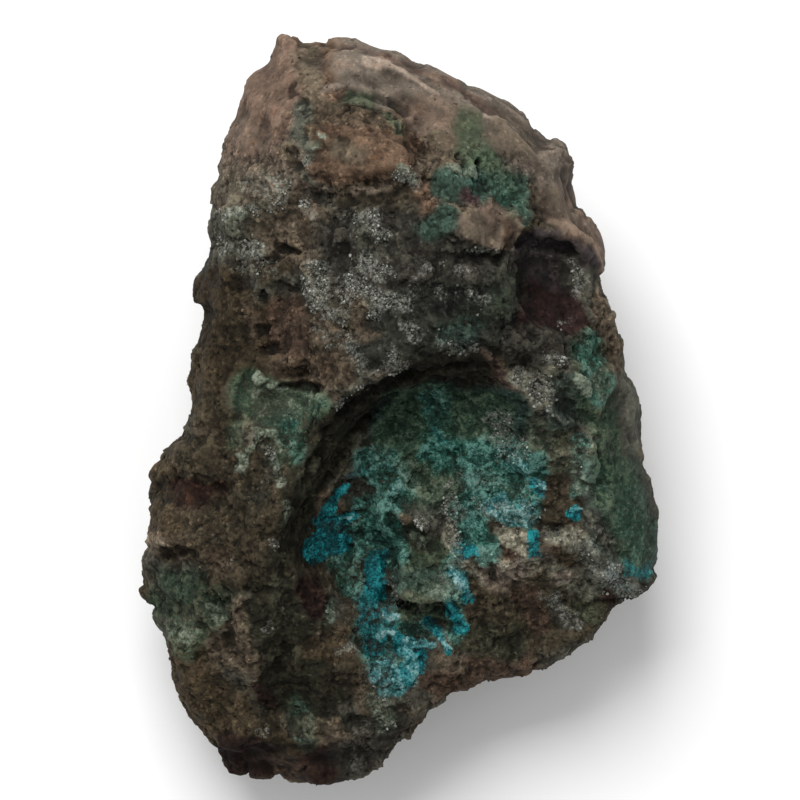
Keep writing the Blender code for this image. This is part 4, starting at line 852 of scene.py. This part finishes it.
growth_spots = seen(skin_places) + wander(skin_places, GROWTH_WANDER)
side_ground = np.full((len(skin_places), 3), TINTS[SIDE_TINTS[0]])
for tint, shift in zip(SIDE_TINTS[1:], NOISE_SHIFTS):
    side_ground = washed(side_ground, tint, clouds(skin_places, shift, *SIDE_CLOUDS))
ground = side_ground
for layer in GROUNDS:
    ground = washed(ground, layer.tint, lying(layer), layer.step)
ground = side_ground + (ground - side_ground) * upward[:, None]
put(skin, "ground", np.column_stack([ground, np.ones(len(ground))]))

growth_shares = {}
for mineral, growths in GROWTHS.items():
    bare = np.ones(len(skin_places))
    for growth in growths:
        bare *= 1 - growth.share * lying(growth)
    growth_shares[mineral] = (1 - bare) * upward
veil = clouds(skin_places, NOISE_SHIFTS[2], *VEIL_CLOUDS) * (1 - upward)
teal_veil = veil * clouds(skin_places, NOISE_SHIFTS[0], *VEIL_TEAL_CLOUDS)
growth_shares["green"] += VEIL_GREEN * veil
growth_shares["teal"] += VEIL_TEAL * teal_veil
for mineral, share in growth_shares.items():
    put(skin, mineral, share)

# The weathering. Frost and wear have left the rock crumbly: small tilted chips with crisp
# steps, swells, grit and pits everywhere but on the few clean old faces.
WEATHERING = {
    "Chip size": 2.6,
    "Chip tilt": 0.14,
    "Flake size": 1.0,
    "Flake tilt": 0.16,
    "Swell size": 3.4,
    "Swell depth": 0.17,
    "Grit size": 0.75,
    "Grit depth": 0.10,
    "Pit size": 1.9,
    "Pit depth": 0.40,
    "Clean keep": 0.12,
}
PITTED = (0.62, 0.74)
CHIP_BEND = 0.7
SKIN_TRIANGLES = 197000
# The face that the stone rests on isn't worn: it faces down and lies no higher than this.
RESTING_FACING, RESTING_HEIGHT = -0.9, 0.35
# Cracks and dips are told from a floor evened in so many rounds, and by how deep they lie.
CRACK_ROUNDS, CRACK_DEPTH = 5, 0.10
DIP_ROUNDS, DIP_DEPTH = 45, 0.50
ROUGH_FACING = (0.30, 0.75)
CLEAN_SMOOTH = 0.85


class Wire:
    """A socket of a node tree. Arithmetic on it adds Math nodes, and node() adds any other."""

    def __init__(self, tree, socket=None):
        self.tree, self.socket = tree, socket

    def node(self, kind, settings=None, sockets=None, output=0):
        made = self.tree.nodes.new(kind)
        for name, value in (settings or {}).items():
            if name == "stops":
                for position, color in value[1:-1]:
                    made.color_ramp.elements.new(position)
                for element, (position, color) in zip(made.color_ramp.elements, value):
                    element.position, element.color = position, (*color, 1)
            else:
                setattr(made, name, value)
        for key, value in (sockets or {}).items():
            socket = self.pick(made.inputs, key)
            if isinstance(value, Wire):
                self.tree.links.new(value.socket, socket)
            elif socket.type == "RGBA":
                socket.default_value = (*value, 1)
            else:
                socket.default_value = value
        return Wire(self.tree, self.pick(made.outputs, output) if made.outputs else None)

    @staticmethod
    def pick(sockets, key):
        open_sockets = [socket for socket in sockets if socket.enabled]
        if isinstance(key, int):
            return open_sockets[key]
        return next(socket for socket in open_sockets if socket.name == key)

    def beside(self, output):
        """Another output of the same node."""
        return Wire(self.tree, self.pick(self.socket.node.outputs, output))

    def maths(self, operation, first, second):
        return self.node("ShaderNodeMath", {"operation": operation}, {0: first, 1: second})

    def __add__(self, other):
        return self.maths("ADD", self, other)

    def __radd__(self, other):
        return self.maths("ADD", other, self)

    def __mul__(self, other):
        return self.maths("MULTIPLY", self, other)

    def __rmul__(self, other):
        return self.maths("MULTIPLY", other, self)

    def __sub__(self, other):
        return self.maths("SUBTRACT", self, other)

    def __rsub__(self, other):
        return self.maths("SUBTRACT", other, self)

    def __rtruediv__(self, other):
        return self.maths("DIVIDE", other, self)

    def swing(self, amount):
        """A value from 0 to 1 made to swing about 0."""
        return (self - 0.5) * amount

    def band(self, low, high):
        """0 below low, 1 above high and an eased slope between them."""
        return self.node(
            "ShaderNodeMapRange",
            {"interpolation_type": "SMOOTHSTEP"},
            {"Value": self, "From Min": low, "From Max": high},
        )

    def held(self, low, high):
        """This value, kept between low and high."""
        return self.node("ShaderNodeClamp", {}, {"Value": self, "Min": low, "Max": high})

    def lines(self, low, high):
        """1 on the thin lines where a noise crosses its middle, and 0 beside them."""
        away = self.node("ShaderNodeMath", {"operation": "ABSOLUTE"}, {0: self - 0.5})
        return 1 - away.band(low, high)

    def vectors(self, operation, first, second, output="Vector"):
        return self.node(
            "ShaderNodeVectorMath", {"operation": operation}, {0: first, 1: second}, output
        )

    def scaled(self, scale):
        """This vector or colour, every part of it times scale."""
        return self.node("ShaderNodeVectorMath", {"operation": "SCALE"}, {0: self, "Scale": scale})

    def noise(self, size, detail=3.0, roughness=0.6, output=0):
        """Cloudy noise over this place, its clouds about size across."""
        return self.node(
            "ShaderNodeTexNoise",
            {"noise_dimensions": "3D"},
            {"Vector": self, "Scale": 1 / size, "Detail": detail, "Roughness": roughness},
            output,
        )

    def cells(self, output):
        """Uneven cells, one to each unit of this place."""
        return self.node(
            "ShaderNodeTexVoronoi", {"feature": "F1"}, {"Vector": self, "Scale": 1.0}, output
        )

    def speckle(self, size, channel):
        """Cells about size across, each with one value of its own from 0 to 1."""
        cells = self.scaled(1 / size).cells("Color")
        return self.node("ShaderNodeSeparateColor", {}, {0: cells}, channel)


def new_tree(name, sizes):
    """A node tree, the wire that brings its geometry, a named input for each size, and the
    place of each point in mm."""
    tree = bpy.data.node_groups.new(name, "GeometryNodeTree")
    for way in ("INPUT", "OUTPUT"):
        tree.interface.new_socket("Geometry", in_out=way, socket_type="NodeSocketGeometry")
    for label, size in sizes.items():
        socket = tree.interface.new_socket(label, in_out="INPUT", socket_type="NodeSocketFloat")
        socket.default_value = size
    start = Wire(tree, tree.nodes.new("NodeGroupInput").outputs["Geometry"])
    place = start.node("GeometryNodeInputPosition").scaled(1 / MM)
    return tree, start, {label: start.beside(label) for label in sizes}, place


def kept_field(start, name):
    """A value that the piece keeps for each point."""
    return start.node(
        "GeometryNodeInputNamedAttribute", {"data_type": "FLOAT"}, {"Name": name}, "Attribute"
    )


def grown(name, base, tree, result, sizes):
    """What a tree makes of the base piece's mesh, as a plain mesh of its own."""
    tree.links.new(result.socket, tree.nodes.new("NodeGroupOutput").inputs["Geometry"])
    bed = link(bpy.data.objects.new(name, base.data))
    growing = bed.modifiers.new("growing", "NODES")
    growing.node_group = tree
    for item in tree.interface.items_tree:
        if item.in_out == "INPUT" and item.name in sizes:
            growing[item.identifier] = sizes[item.name]
    return settled(bed, name)


def leaning_chips(place, size, tilt):
    """Cells that are each a small flat facet with its own lean."""
    spot = place.scaled(1 / size)
    push = spot.vectors("SUBTRACT", spot.noise(0.5, 2.0, output="Color"), (0.5, 0.5, 0.5))
    spot = spot.vectors("ADD", spot, push.scaled(CHIP_BEND))
    cell = spot.cells("Color")
    lean = cell.vectors("SUBTRACT", cell, (0.5, 0.5, 0.5))
    offset = cell.vectors("SUBTRACT", spot, cell.beside("Position"))
    return 2.0 * cell.vectors("DOT_PRODUCT", lean, offset, "Value") * size * tilt


flat_below = (skin_normals[:, 2] < RESTING_FACING) & (skin_places[:, 2] < RESTING_HEIGHT)
put(skin, "resting", flat_below.astype(float))
tree, rock, size, place = new_tree("weathering", WEATHERING)
clean, resting = (kept_field(rock, name) for name in ("clean", "resting"))
wear = (
    leaning_chips(place, size["Chip size"], size["Chip tilt"])
    + leaning_chips(place, size["Flake size"], size["Flake tilt"])
    + place.noise(size["Swell size"]).swing(2.0) * size["Swell depth"]
    + place.noise(size["Grit size"]).swing(2.0) * size["Grit depth"]
    - place.noise(size["Pit size"], 2.0).band(*PITTED) * size["Pit depth"]
)
wear = wear * (1 - clean * (1 - size["Clean keep"])) * (1 - resting)
outward = rock.node("GeometryNodeInputNormal").scaled(wear * MM)
worn = rock.node("GeometryNodeSetPosition", {}, {"Geometry": rock, "Offset": outward})
worn_skin = grown("worn_skin", skin, tree, worn, WEATHERING)
bpy.data.objects.remove(skin)
thinning = worn_skin.modifiers.new("thinning", "DECIMATE")
triangles = sum(len(face.vertices) - 2 for face in worn_skin.data.polygons)
thinning.ratio = SKIN_TRIANGLES / triangles
skin = settled(worn_skin, "rock")


def drawn_together(values, edges, rounds):
    """Each point's values drawn towards its neighbours', round after round."""
    ends, others = np.concatenate([edges, edges[:, ::-1]]).T
    count = np.bincount(ends, minlength=len(values))[:, None]
    for _ in range(rounds):
        sums = [np.bincount(ends, axis[others], len(values)) for axis in values.T]
        values = 0.5 * values + 0.5 * np.column_stack(sums) / count
    return values


skin_places = place_points(skin, places_of(skin))
skin_normals = normals_of(skin)
skin_edges = read(skin.data.edges, "vertices", 2).astype(int)
crack_floor = drawn_together(skin_places, skin_edges, CRACK_ROUNDS)
dip_floor = drawn_together(crack_floor, skin_edges, DIP_ROUNDS)
# How deep each point lies below its evened surroundings, for the painted shade in cracks and dips.
for mark, floor, depth in (("crack", crack_floor, CRACK_DEPTH), ("dip", dip_floor, DIP_DEPTH)):
    below = ((floor - skin_places) * skin_normals).sum(1)
    put(skin, mark, np.clip(below / depth, -1, 1))
cleanness = read(skin.data.attributes["clean"].data, "value", 1)[:, 0]
put(skin, "rough", (1 - CLEAN_SMOOTH * cleanness) * eased(skin_normals[:, 2], *ROUGH_FACING))

# The finish of the rock. One dull, grainy, weathered finish carries the ground tints, painted shade that
# darkens the cracks and dips and lightens the sharp edges, the dark marks of dirt and painted shade, and
# the growths in broken patches.

# Each growth has its colours from dark to pale, where its patch begins and is whole, and how
# much of the rock it hides. A later one lies over those before it.
Layer = namedtuple("Layer", "name colours begins whole hiding")
LAYERS = listed(
    Layer,
    ("green", ((0.0, (0.008, 0.022, 0.012)), (0.5, (0.025, 0.054, 0.032)),
        (1.0, (0.085, 0.120, 0.072))), 0.12, 0.95, 0.8),
    ("teal", ((0.0, (0.004, 0.022, 0.016)), (0.5, (0.018, 0.090, 0.070)),
        (1.0, (0.110, 0.260, 0.220))), 0.12, 0.95, 0.85),
    ("blue", ((0.0, (0.001, 0.018, 0.021)), (0.45, (0.001, 0.074, 0.084)),
        (1.0, (0.016, 0.225, 0.240))), 0.2, 0.78, 0.98),
    ("sage", ((0.0, (0.045, 0.060, 0.040)), (0.5, (0.085, 0.105, 0.072)),
        (1.0, (0.220, 0.250, 0.195))), 0.22, 0.80, 0.85),
    ("ice", ((0.0, (0.008, 0.070, 0.076)), (0.5, (0.055, 0.185, 0.192)),
        (1.0, (0.260, 0.400, 0.390))), 0.25, 0.7, 0.9),
)

# Noises by size in mm, detail and roughness. The far ones run elsewhere in the same rock.
BLOTCH, FAR_BLOTCH = (3.6, 5.0, 0.62), (2.2, 5.0, 0.65)
SPECK, FAR_SPECK = (0.55, 5.0, 0.7), (0.42, 4.0, 0.7)
DUST, SEAM_WAVE, WISP_WAVE = (0.24, 3.0, 0.7), (1.7, 4.0, 0.62), (1.1, 3.0, 0.6)
FAR_SHIFT = (41.3, 17.9, 63.1)
GRAIN_SIZE, FLECK_SIZE, FROST_GRAIN_SIZE = 0.5, 0.36, 0.30
SEAM_WIDTH, WISP_WIDTH = (0.008, 0.045), (0.012, 0.06)
PALE_FLECKS, DARK_FLECKS, GROWTH_FLECKS = (0.93, 0.97), (0.10, 0.04), (0.92, 0.96)

# How strongly each texture darkens and lightens the stone and the growths on it, and how far
# it breaks up the edge of a growth or of the frost.
STONE_TEXTURE = {"blotch": 1.3, "far_blotch": 1.1, "speck": 1.7, "dust": 1.6, "grain": 0.5}
GROWTH_TEXTURE = {"far_blotch": 1.0, "blotch": 0.8, "speck": 1.7, "dust": 1.8, "grain": 0.25}
GROWTH_EDGE = {"blotch": 1.6, "far_speck": 2.5}
FROST_EDGE = {"blotch": 1.6, "far_speck": 1.4}
FROST_TEXTURE = {"dust": 2.4, "grain": 0.8}
CLEAN_CALM = 0.55

TONE_LIMITS, FROST_TONE_LIMITS = (0.25, 2.6), (0.2, 1.3)
FROST_BEGINS, FROST_WHOLE = 0.32, 0.95
RUSTIER, GREYER, STAIN = (1.26, 0.96, 0.80), (0.82, 0.98, 0.98), 0.7
# How strongly painted shade darkens the cracks and dips, and how dark the marks of dirt and painted shade
# are.
CRACK_PAINTED_SHADE, DIP_PAINTED_SHADE, DIRT_AND_SHADE_DARK = 0.48, 0.22, 0.68
FROST_PALE = (0.27, 0.275, 0.24)
FROST_HIDING = 0.62
ROCK_SHINE = 0.12
BUMP_STRENGTH, BUMP_DEPTH = 0.6, 0.00012


def new_finish(name):
    """An empty finish, the wire that starts its nodes, and the place of each point in mm."""
    finish = bpy.data.materials.new(name)
    finish.use_nodes = True
    finish.node_tree.nodes.clear()
    bench = Wire(finish.node_tree)
    return finish, bench, bench.node("ShaderNodeTexCoord", output="Object").scaled(1 / MM)


def kept(name, output="Fac"):
    """A value that the rock keeps for each point, for a finish to read."""
    return bench.node("ShaderNodeAttribute", {"attribute_name": name}, {}, output)


def ramp(value, stops):
    """The colour at this value on a scale of colours."""
    return bench.node("ShaderNodeValToRGB", {"stops": stops}, {0: value}, "Color")


def laid(under, over, cover):
    """One colour laid over another as far as cover says."""
    return bench.node(
        "ShaderNodeMix", {"data_type": "RGBA"}, {"Factor": cover, "A": under, "B": over}
    )


def textured(amounts):
    """Swings of the named textures, each as strong as its amount, all together."""
    return sum(textures[name].swing(amount) for name, amount in amounts.items())


def cover_of(layer):
    """Where a growth lies: whole at its heart and broken to flecks towards its edge."""
    patch = kept(layer.name) * (1 + textured(GROWTH_EDGE) - crack * 0.12)
    return patch.band(layer.begins, layer.whole)


def finished(sockets):
    """Ends the finish in one plain surface."""
    surface = bench.node("ShaderNodeBsdfPrincipled", {}, sockets)
    bench.node("ShaderNodeOutputMaterial", {}, {"Surface": surface})


rock_finish, bench, place = new_finish("copper_rock")
far_place = place.vectors("ADD", place, FAR_SHIFT)
textures = {
    "blotch": place.noise(*BLOTCH),
    "far_blotch": far_place.noise(*FAR_BLOTCH),
    "speck": place.noise(*SPECK),
    "far_speck": far_place.noise(*FAR_SPECK),
    "dust": far_place.noise(*DUST),
    "grain": place.speckle(GRAIN_SIZE, "Red"),
}
far_blotch = textures["far_blotch"]
fleck = place.speckle(FLECK_SIZE, "Blue")
seams = place.noise(*SEAM_WAVE).lines(*SEAM_WIDTH)
wisps = far_place.noise(*WISP_WAVE).lines(*WISP_WIDTH)
crack = kept("crack")
dip = kept("dip")

tone = (
    textured(STONE_TEXTURE)
    + fleck.band(*PALE_FLECKS) * 0.9
    - fleck.band(*DARK_FLECKS) * 0.4
    - seams * far_blotch.band(0.42, 0.6) * 0.4
)
tone = 1 + tone * (1 - kept("clean") * CLEAN_CALM) + kept("tone") * 0.30
# Painted shade: darker in cracks and dips and lighter on ridges and sharp edges.
shade = tone.held(*TONE_LIMITS) * (1 - crack * CRACK_PAINTED_SHADE) * (1 - dip * DIP_PAINTED_SHADE)
stone = kept("ground", "Color")
rusty = far_blotch.swing(3.0)
for stain, cover in ((RUSTIER, rusty), (GREYER, 0 - rusty)):
    stained = stone.vectors("MULTIPLY", stone, stain)
    stone = laid(stone, stained, cover.band(0.1, 0.9) * STAIN)
stone = stone.scaled(shade)

# The growths' tone also takes painted shade: darker in cracks and dips, lighter on ridges.
growth_tone = (
    0.5
    + textured(GROWTH_TEXTURE)
    + fleck.band(*GROWTH_FLECKS) * 0.3
    - seams * 0.22
    - crack * 0.26
    - dip * 0.12
    + kept("tone") * 0.16
)
colour = stone
covers = {layer.name: cover_of(layer) for layer in LAYERS}
for layer in LAYERS:
    colour = laid(colour, ramp(growth_tone, layer.colours), covers[layer.name] * layer.hiding)
# The dark marks darken the colour: partly dirt, mostly painted shade on the hollow's wall and in recesses.
colour = colour.scaled(1 - kept("dirt") * DIRT_AND_SHADE_DARK)

frost_gate = (kept("frost") + textured(FROST_EDGE)).band(FROST_BEGINS, FROST_WHOLE)
frost_gate = frost_gate * kept("frost").band(0.02, 0.25)
frost_grains = place.speckle(FROST_GRAIN_SIZE, "Green").band(0.72, 0.86)
frost = bench.maths("MAXIMUM", wisps * 0.7, frost_grains)
frost_dots = textures["far_speck"].band(0.50, 0.64) * 0.75
frost = bench.maths("MAXIMUM", frost, frost_dots) * frost_gate
frost_tone = (0.75 + textured(FROST_TEXTURE)).held(*FROST_TONE_LIMITS)
frost_pale = bench.node("ShaderNodeCombineColor", {}, dict(enumerate(FROST_PALE)), "Color")
colour = laid(colour, frost_pale.scaled(frost_tone), frost * FROST_HIDING)

grit = textures["speck"] + textures["grain"] * 0.35
relief = bench.node(
    "ShaderNodeBump",
    {},
    {"Strength": BUMP_STRENGTH, "Distance": BUMP_DEPTH, "Height": grit},
    "Normal",
)
finished({
    "Base Color": colour,
    "Roughness": 0.88 - covers["blue"] * 0.30 - frost * 0.3 + textures["speck"].swing(0.2),
    "Specular IOR Level": ROCK_SHINE,
    "Normal": relief,
})
skin.data.materials.clear()
skin.data.materials.append(rock_finish)
skin.data.shade_smooth()
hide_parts("specimen")
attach(skin, "root")

# The crumbs. Angular grains broken from the same rock lie in the rough ground and stick to
# it, and each has the colour of the ground it came from, a little paler or darker.
CRUMBS = {"To each mm2": 1.9, "Smallest": 0.10, "Largest": 0.36, "Sunk": 0.05, "Bent": 0.6}
CRUMB_SEED = 4
CRUMB_HEAPS, HEAPED = (3.0, 3.0), (0.40, 0.62)
LEAST_HEAPED = 0.15
GRAIN_SHAPES = 4
SHAPE_STEP = (7.3, 3.1, 0.0)
SHAPE_WAVES = 1.1
SHAPE_PICK = {"Min": 0, "Max": 99, "Seed": 5}
FULL_TURN = 6.28
# The loose draws of a piece, each by what it adds to the piece's seed.
TONE_DRAW, BREADTH_DRAW, STRETCH_DRAW, TURN_DRAW = 3, 4, 5, 6


def chance(start, low, high, seed):
    """A loose value between low and high for each point."""
    kind = "FLOAT_VECTOR" if isinstance(low, tuple) else "FLOAT"
    sockets = {"Min": low, "Max": high, "Seed": seed}
    return start.node("FunctionNodeRandomValue", {"data_type": kind}, sockets, "Value")


def scattered(rock, density, sunk, seed, darkest=-1.0):
    """Loose points over the rock, so many to each mm2 and sunk a little into it, each with
    its own tone, and the turn that stands them upright."""
    found = rock.node(
        "GeometryNodeDistributePointsOnFaces",
        {"distribute_method": "RANDOM"},
        {"Mesh": rock, "Density": density * (1 / MM**2), "Seed": seed},
        "Points",
    )
    inward = found.beside("Normal").scaled(sunk * -MM)
    points = found.node("GeometryNodeSetPosition", {}, {"Geometry": found, "Offset": inward})
    tone = chance(points, darkest, 1.0, seed + TONE_DRAW)
    points = points.node(
        "GeometryNodeStoreNamedAttribute",
        {"data_type": "FLOAT", "domain": "POINT"},
        {"Geometry": points, "Name": "tone", "Value": tone},
    )
    return points, found.beside("Rotation")


def grain_shapes(start, number, bent):
    """A few angular grains about 2 mm across, each bent its own way, to pick from."""
    shapes = start.node("GeometryNodeJoinGeometry")
    for turn in range(number):
        ball = start.node("GeometryNodeMeshIcoSphere", {}, {"Radius": MM, "Subdivisions": 1})
        spot = start.node("GeometryNodeInputPosition").scaled(1 / MM)
        spot = spot.vectors("ADD", spot, tuple(turn * step for step in SHAPE_STEP))
        push = spot.noise(SHAPE_WAVES, 1.0, output="Color")
        push = push.vectors("SUBTRACT", push, (0.5, 0.5, 0.5)).scaled(bent * 4 * MM)
        grain = start.node("GeometryNodeSetPosition", {}, {"Geometry": ball, "Offset": push})
        held = start.node("GeometryNodeGeometryToInstance", {}, {"Geometry": grain})
        start.tree.links.new(held.socket, shapes.socket.node.inputs["Geometry"])
    return shapes


def leaning(points, upright, widest, seed):
    """Upright, then turned about and leant to a side by up to widest, in radians."""
    lean = chance(points, (-widest, -widest, 0.0), (widest, widest, FULL_TURN), seed)
    turn = {"Rotation": upright, "Rotate By": lean}
    return points.node("FunctionNodeRotateRotation", {"rotation_space": "LOCAL"}, turn)


def set_down(points, shapes, turn, scale, finish):
    """One of the shapes on each point, made real, with its finish."""
    pick = points.node("FunctionNodeRandomValue", {"data_type": "INT"}, SHAPE_PICK, "Value")
    stuck = points.node(
        "GeometryNodeInstanceOnPoints",
        {},
        {
            "Points": points,
            "Instance": shapes,
            "Pick Instance": True,
            "Instance Index": pick,
            "Rotation": turn,
            "Scale": scale,
        },
    )
    real = stuck.node("GeometryNodeRealizeInstances", {}, {"Geometry": stuck})
    return real.node("GeometryNodeSetMaterial", {}, {"Geometry": real, "Material": finish})


tree, rock, size, place = new_tree("crumbs", CRUMBS)
heaps = place.noise(*CRUMB_HEAPS).band(*HEAPED) * (1 - LEAST_HEAPED) + LEAST_HEAPED
density = kept_field(rock, "rough") * heaps * size["To each mm2"]
points, upright = scattered(rock, density, size["Sunk"], CRUMB_SEED)
luck = chance(points, 0.0, 1.0, CRUMB_SEED + BREADTH_DRAW)
breadth = size["Smallest"] + luck * luck * luck * (size["Largest"] - size["Smallest"])
stretch = chance(points, (0.7, 0.7, 0.6), (1.3, 1.3, 1.1), CRUMB_SEED + STRETCH_DRAW)
turn = chance(points, (0.0, 0.0, 0.0), (FULL_TURN, FULL_TURN, FULL_TURN), CRUMB_SEED + TURN_DRAW)
shapes = grain_shapes(points, GRAIN_SHAPES, size["Bent"])
result = set_down(points, shapes, turn, stretch.scaled(breadth), rock_finish)
crumbs = grown("crumbs", skin, tree, result, CRUMBS)

# The flakes. Chrysocolla and thin crusts have sprung into small flat scales that stand a
# little off the bright growths.
FLAKES = {"To each mm2": 2.2, "Smallest": 0.14, "Largest": 0.42, "Thickness": 0.22, "Bent": 0.5}
FLAKE_SEED = 14
FLAKE_DARKEST = -1.2
FLAKE_LEAN = 0.3

tree, rock, size, place = new_tree("flakes", FLAKES)
bright = kept_field(rock, "blue") * 0.8 + kept_field(rock, "ice") + kept_field(rock, "teal") * 0.35
density = bright * size["To each mm2"]
points, upright = scattered(rock, density, 0.0, FLAKE_SEED, FLAKE_DARKEST)
luck = chance(points, 0.0, 1.0, FLAKE_SEED + BREADTH_DRAW)
breadth = size["Smallest"] + luck * (size["Largest"] - size["Smallest"])
stretch = points.node(
    "ShaderNodeCombineXYZ",
    {},
    {"X": chance(points, 0.6, 1.4, FLAKE_SEED + STRETCH_DRAW), "Y": 1.0, "Z": size["Thickness"]},
)
turn = leaning(points, upright, FLAKE_LEAN, FLAKE_SEED + TURN_DRAW)
shapes = grain_shapes(points, GRAIN_SHAPES, size["Bent"])
result = set_down(points, shapes, turn, stretch.scaled(breadth), rock_finish)
flakes = grown("flakes", skin, tree, result, FLAKES)

# The quartz frost. Late quartz grew over the ledges as clusters of tiny six-sided crystals,
# each a short column with a point, milky and a little glassy.
CRYSTALS = {"To each mm2": 20.0, "Smallest": 0.05, "Largest": 0.19, "Length": 2.4}
CRYSTAL_SEED = 24
CRYSTAL_SUNK = 0.03
CRYSTAL_LEAN = 1.35
# The cone starts 1 mm high and 1 mm across. Its middle ring is the shoulder below the point.
CONE = {"Radius Top": 0.0, "Radius Bottom": 0.5 * MM, "Depth": MM, "Vertices": 6, "Side Segments": 2}
SHOULDER_HEIGHT, SHOULDER_WITHIN = 0.5 * MM, 0.1 * MM
CLUMP_NOISE, CLUMPED = (1.4, 4.0, 0.75), (0.75, 1.35)
QUARTZ_PALES = ((0.0, (0.035, 0.036, 0.028)), (0.6, (0.13, 0.132, 0.108)), (1.0, (0.44, 0.45, 0.41)))
QUARTZ_SHINE = 0.35
CLOUDING = (0.5, 3.0, 0.6)
GROUND_STAIN = 9.0
COPPER_STAIN = (0.72, 1.15, 1.10)

quartz_finish, bench, place = new_finish("milky_quartz")
clouding = place.noise(*CLOUDING)
# The quartz is darker under the marks of dirt and painted shade.
quartz_tone = 0.5 + kept("tone") * 0.35 + clouding.swing(1.2) - kept("dirt") * 0.3
quartz = ramp(quartz_tone, QUARTZ_PALES)
stained = quartz.vectors("MULTIPLY", quartz, kept("ground", "Color").scaled(GROUND_STAIN))
stained = laid(quartz, stained, place.noise(2.0, 2.0).band(0.4, 0.7) * 0.5)
copper_green = quartz.vectors("MULTIPLY", quartz, COPPER_STAIN)
stained = laid(stained, copper_green, (kept("teal") + kept("blue")).band(0.2, 0.8))
finished({
    "Base Color": stained,
    "Roughness": 0.28 + clouding * 0.25,
    "Specular IOR Level": QUARTZ_SHINE,
})

tree, rock, size, place = new_tree("crystals", CRYSTALS)
frosted = kept_field(rock, "frost")
clumps = (frosted + place.noise(*CLUMP_NOISE).swing(4.2)).band(*CLUMPED)
density = clumps * frosted.band(0.03, 0.2) * size["To each mm2"]
points, upright = scattered(rock, density, CRYSTAL_SUNK, CRYSTAL_SEED)
column = points.node("GeometryNodeMeshCone", {"fill_type": "NGON"}, CONE)
spot = points.node("GeometryNodeInputPosition")
height = points.node("ShaderNodeSeparateXYZ", {}, {0: spot}, "Z")
at_shoulder = height.maths("COMPARE", height, SHOULDER_HEIGHT)
at_shoulder.socket.node.inputs[2].default_value = SHOULDER_WITHIN
outward = spot.vectors("MULTIPLY", spot, (1.0, 1.0, 0.2))
crystal = points.node(
    "GeometryNodeSetPosition", {}, {"Geometry": column, "Selection": at_shoulder, "Offset": outward}
)
crystal = crystal.node("GeometryNodeGeometryToInstance", {}, {"Geometry": crystal})
luck = chance(points, 0.0, 1.0, CRYSTAL_SEED + BREADTH_DRAW)
breadth = size["Smallest"] + luck * (size["Largest"] - size["Smallest"])
length = size["Length"] * chance(points, 0.6, 1.4, CRYSTAL_SEED + STRETCH_DRAW)
stretch = points.node("ShaderNodeCombineXYZ", {}, {"X": 2.0, "Y": 2.0, "Z": length})
turn = leaning(points, upright, CRYSTAL_LEAN, CRYSTAL_SEED + TURN_DRAW)
result = set_down(points, crystal, turn, stretch.scaled(breadth), quartz_finish)
crystals = grown("quartz_frost", skin, tree, result, CRYSTALS)

for piece in (crumbs, flakes, crystals):
    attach(piece, "root")
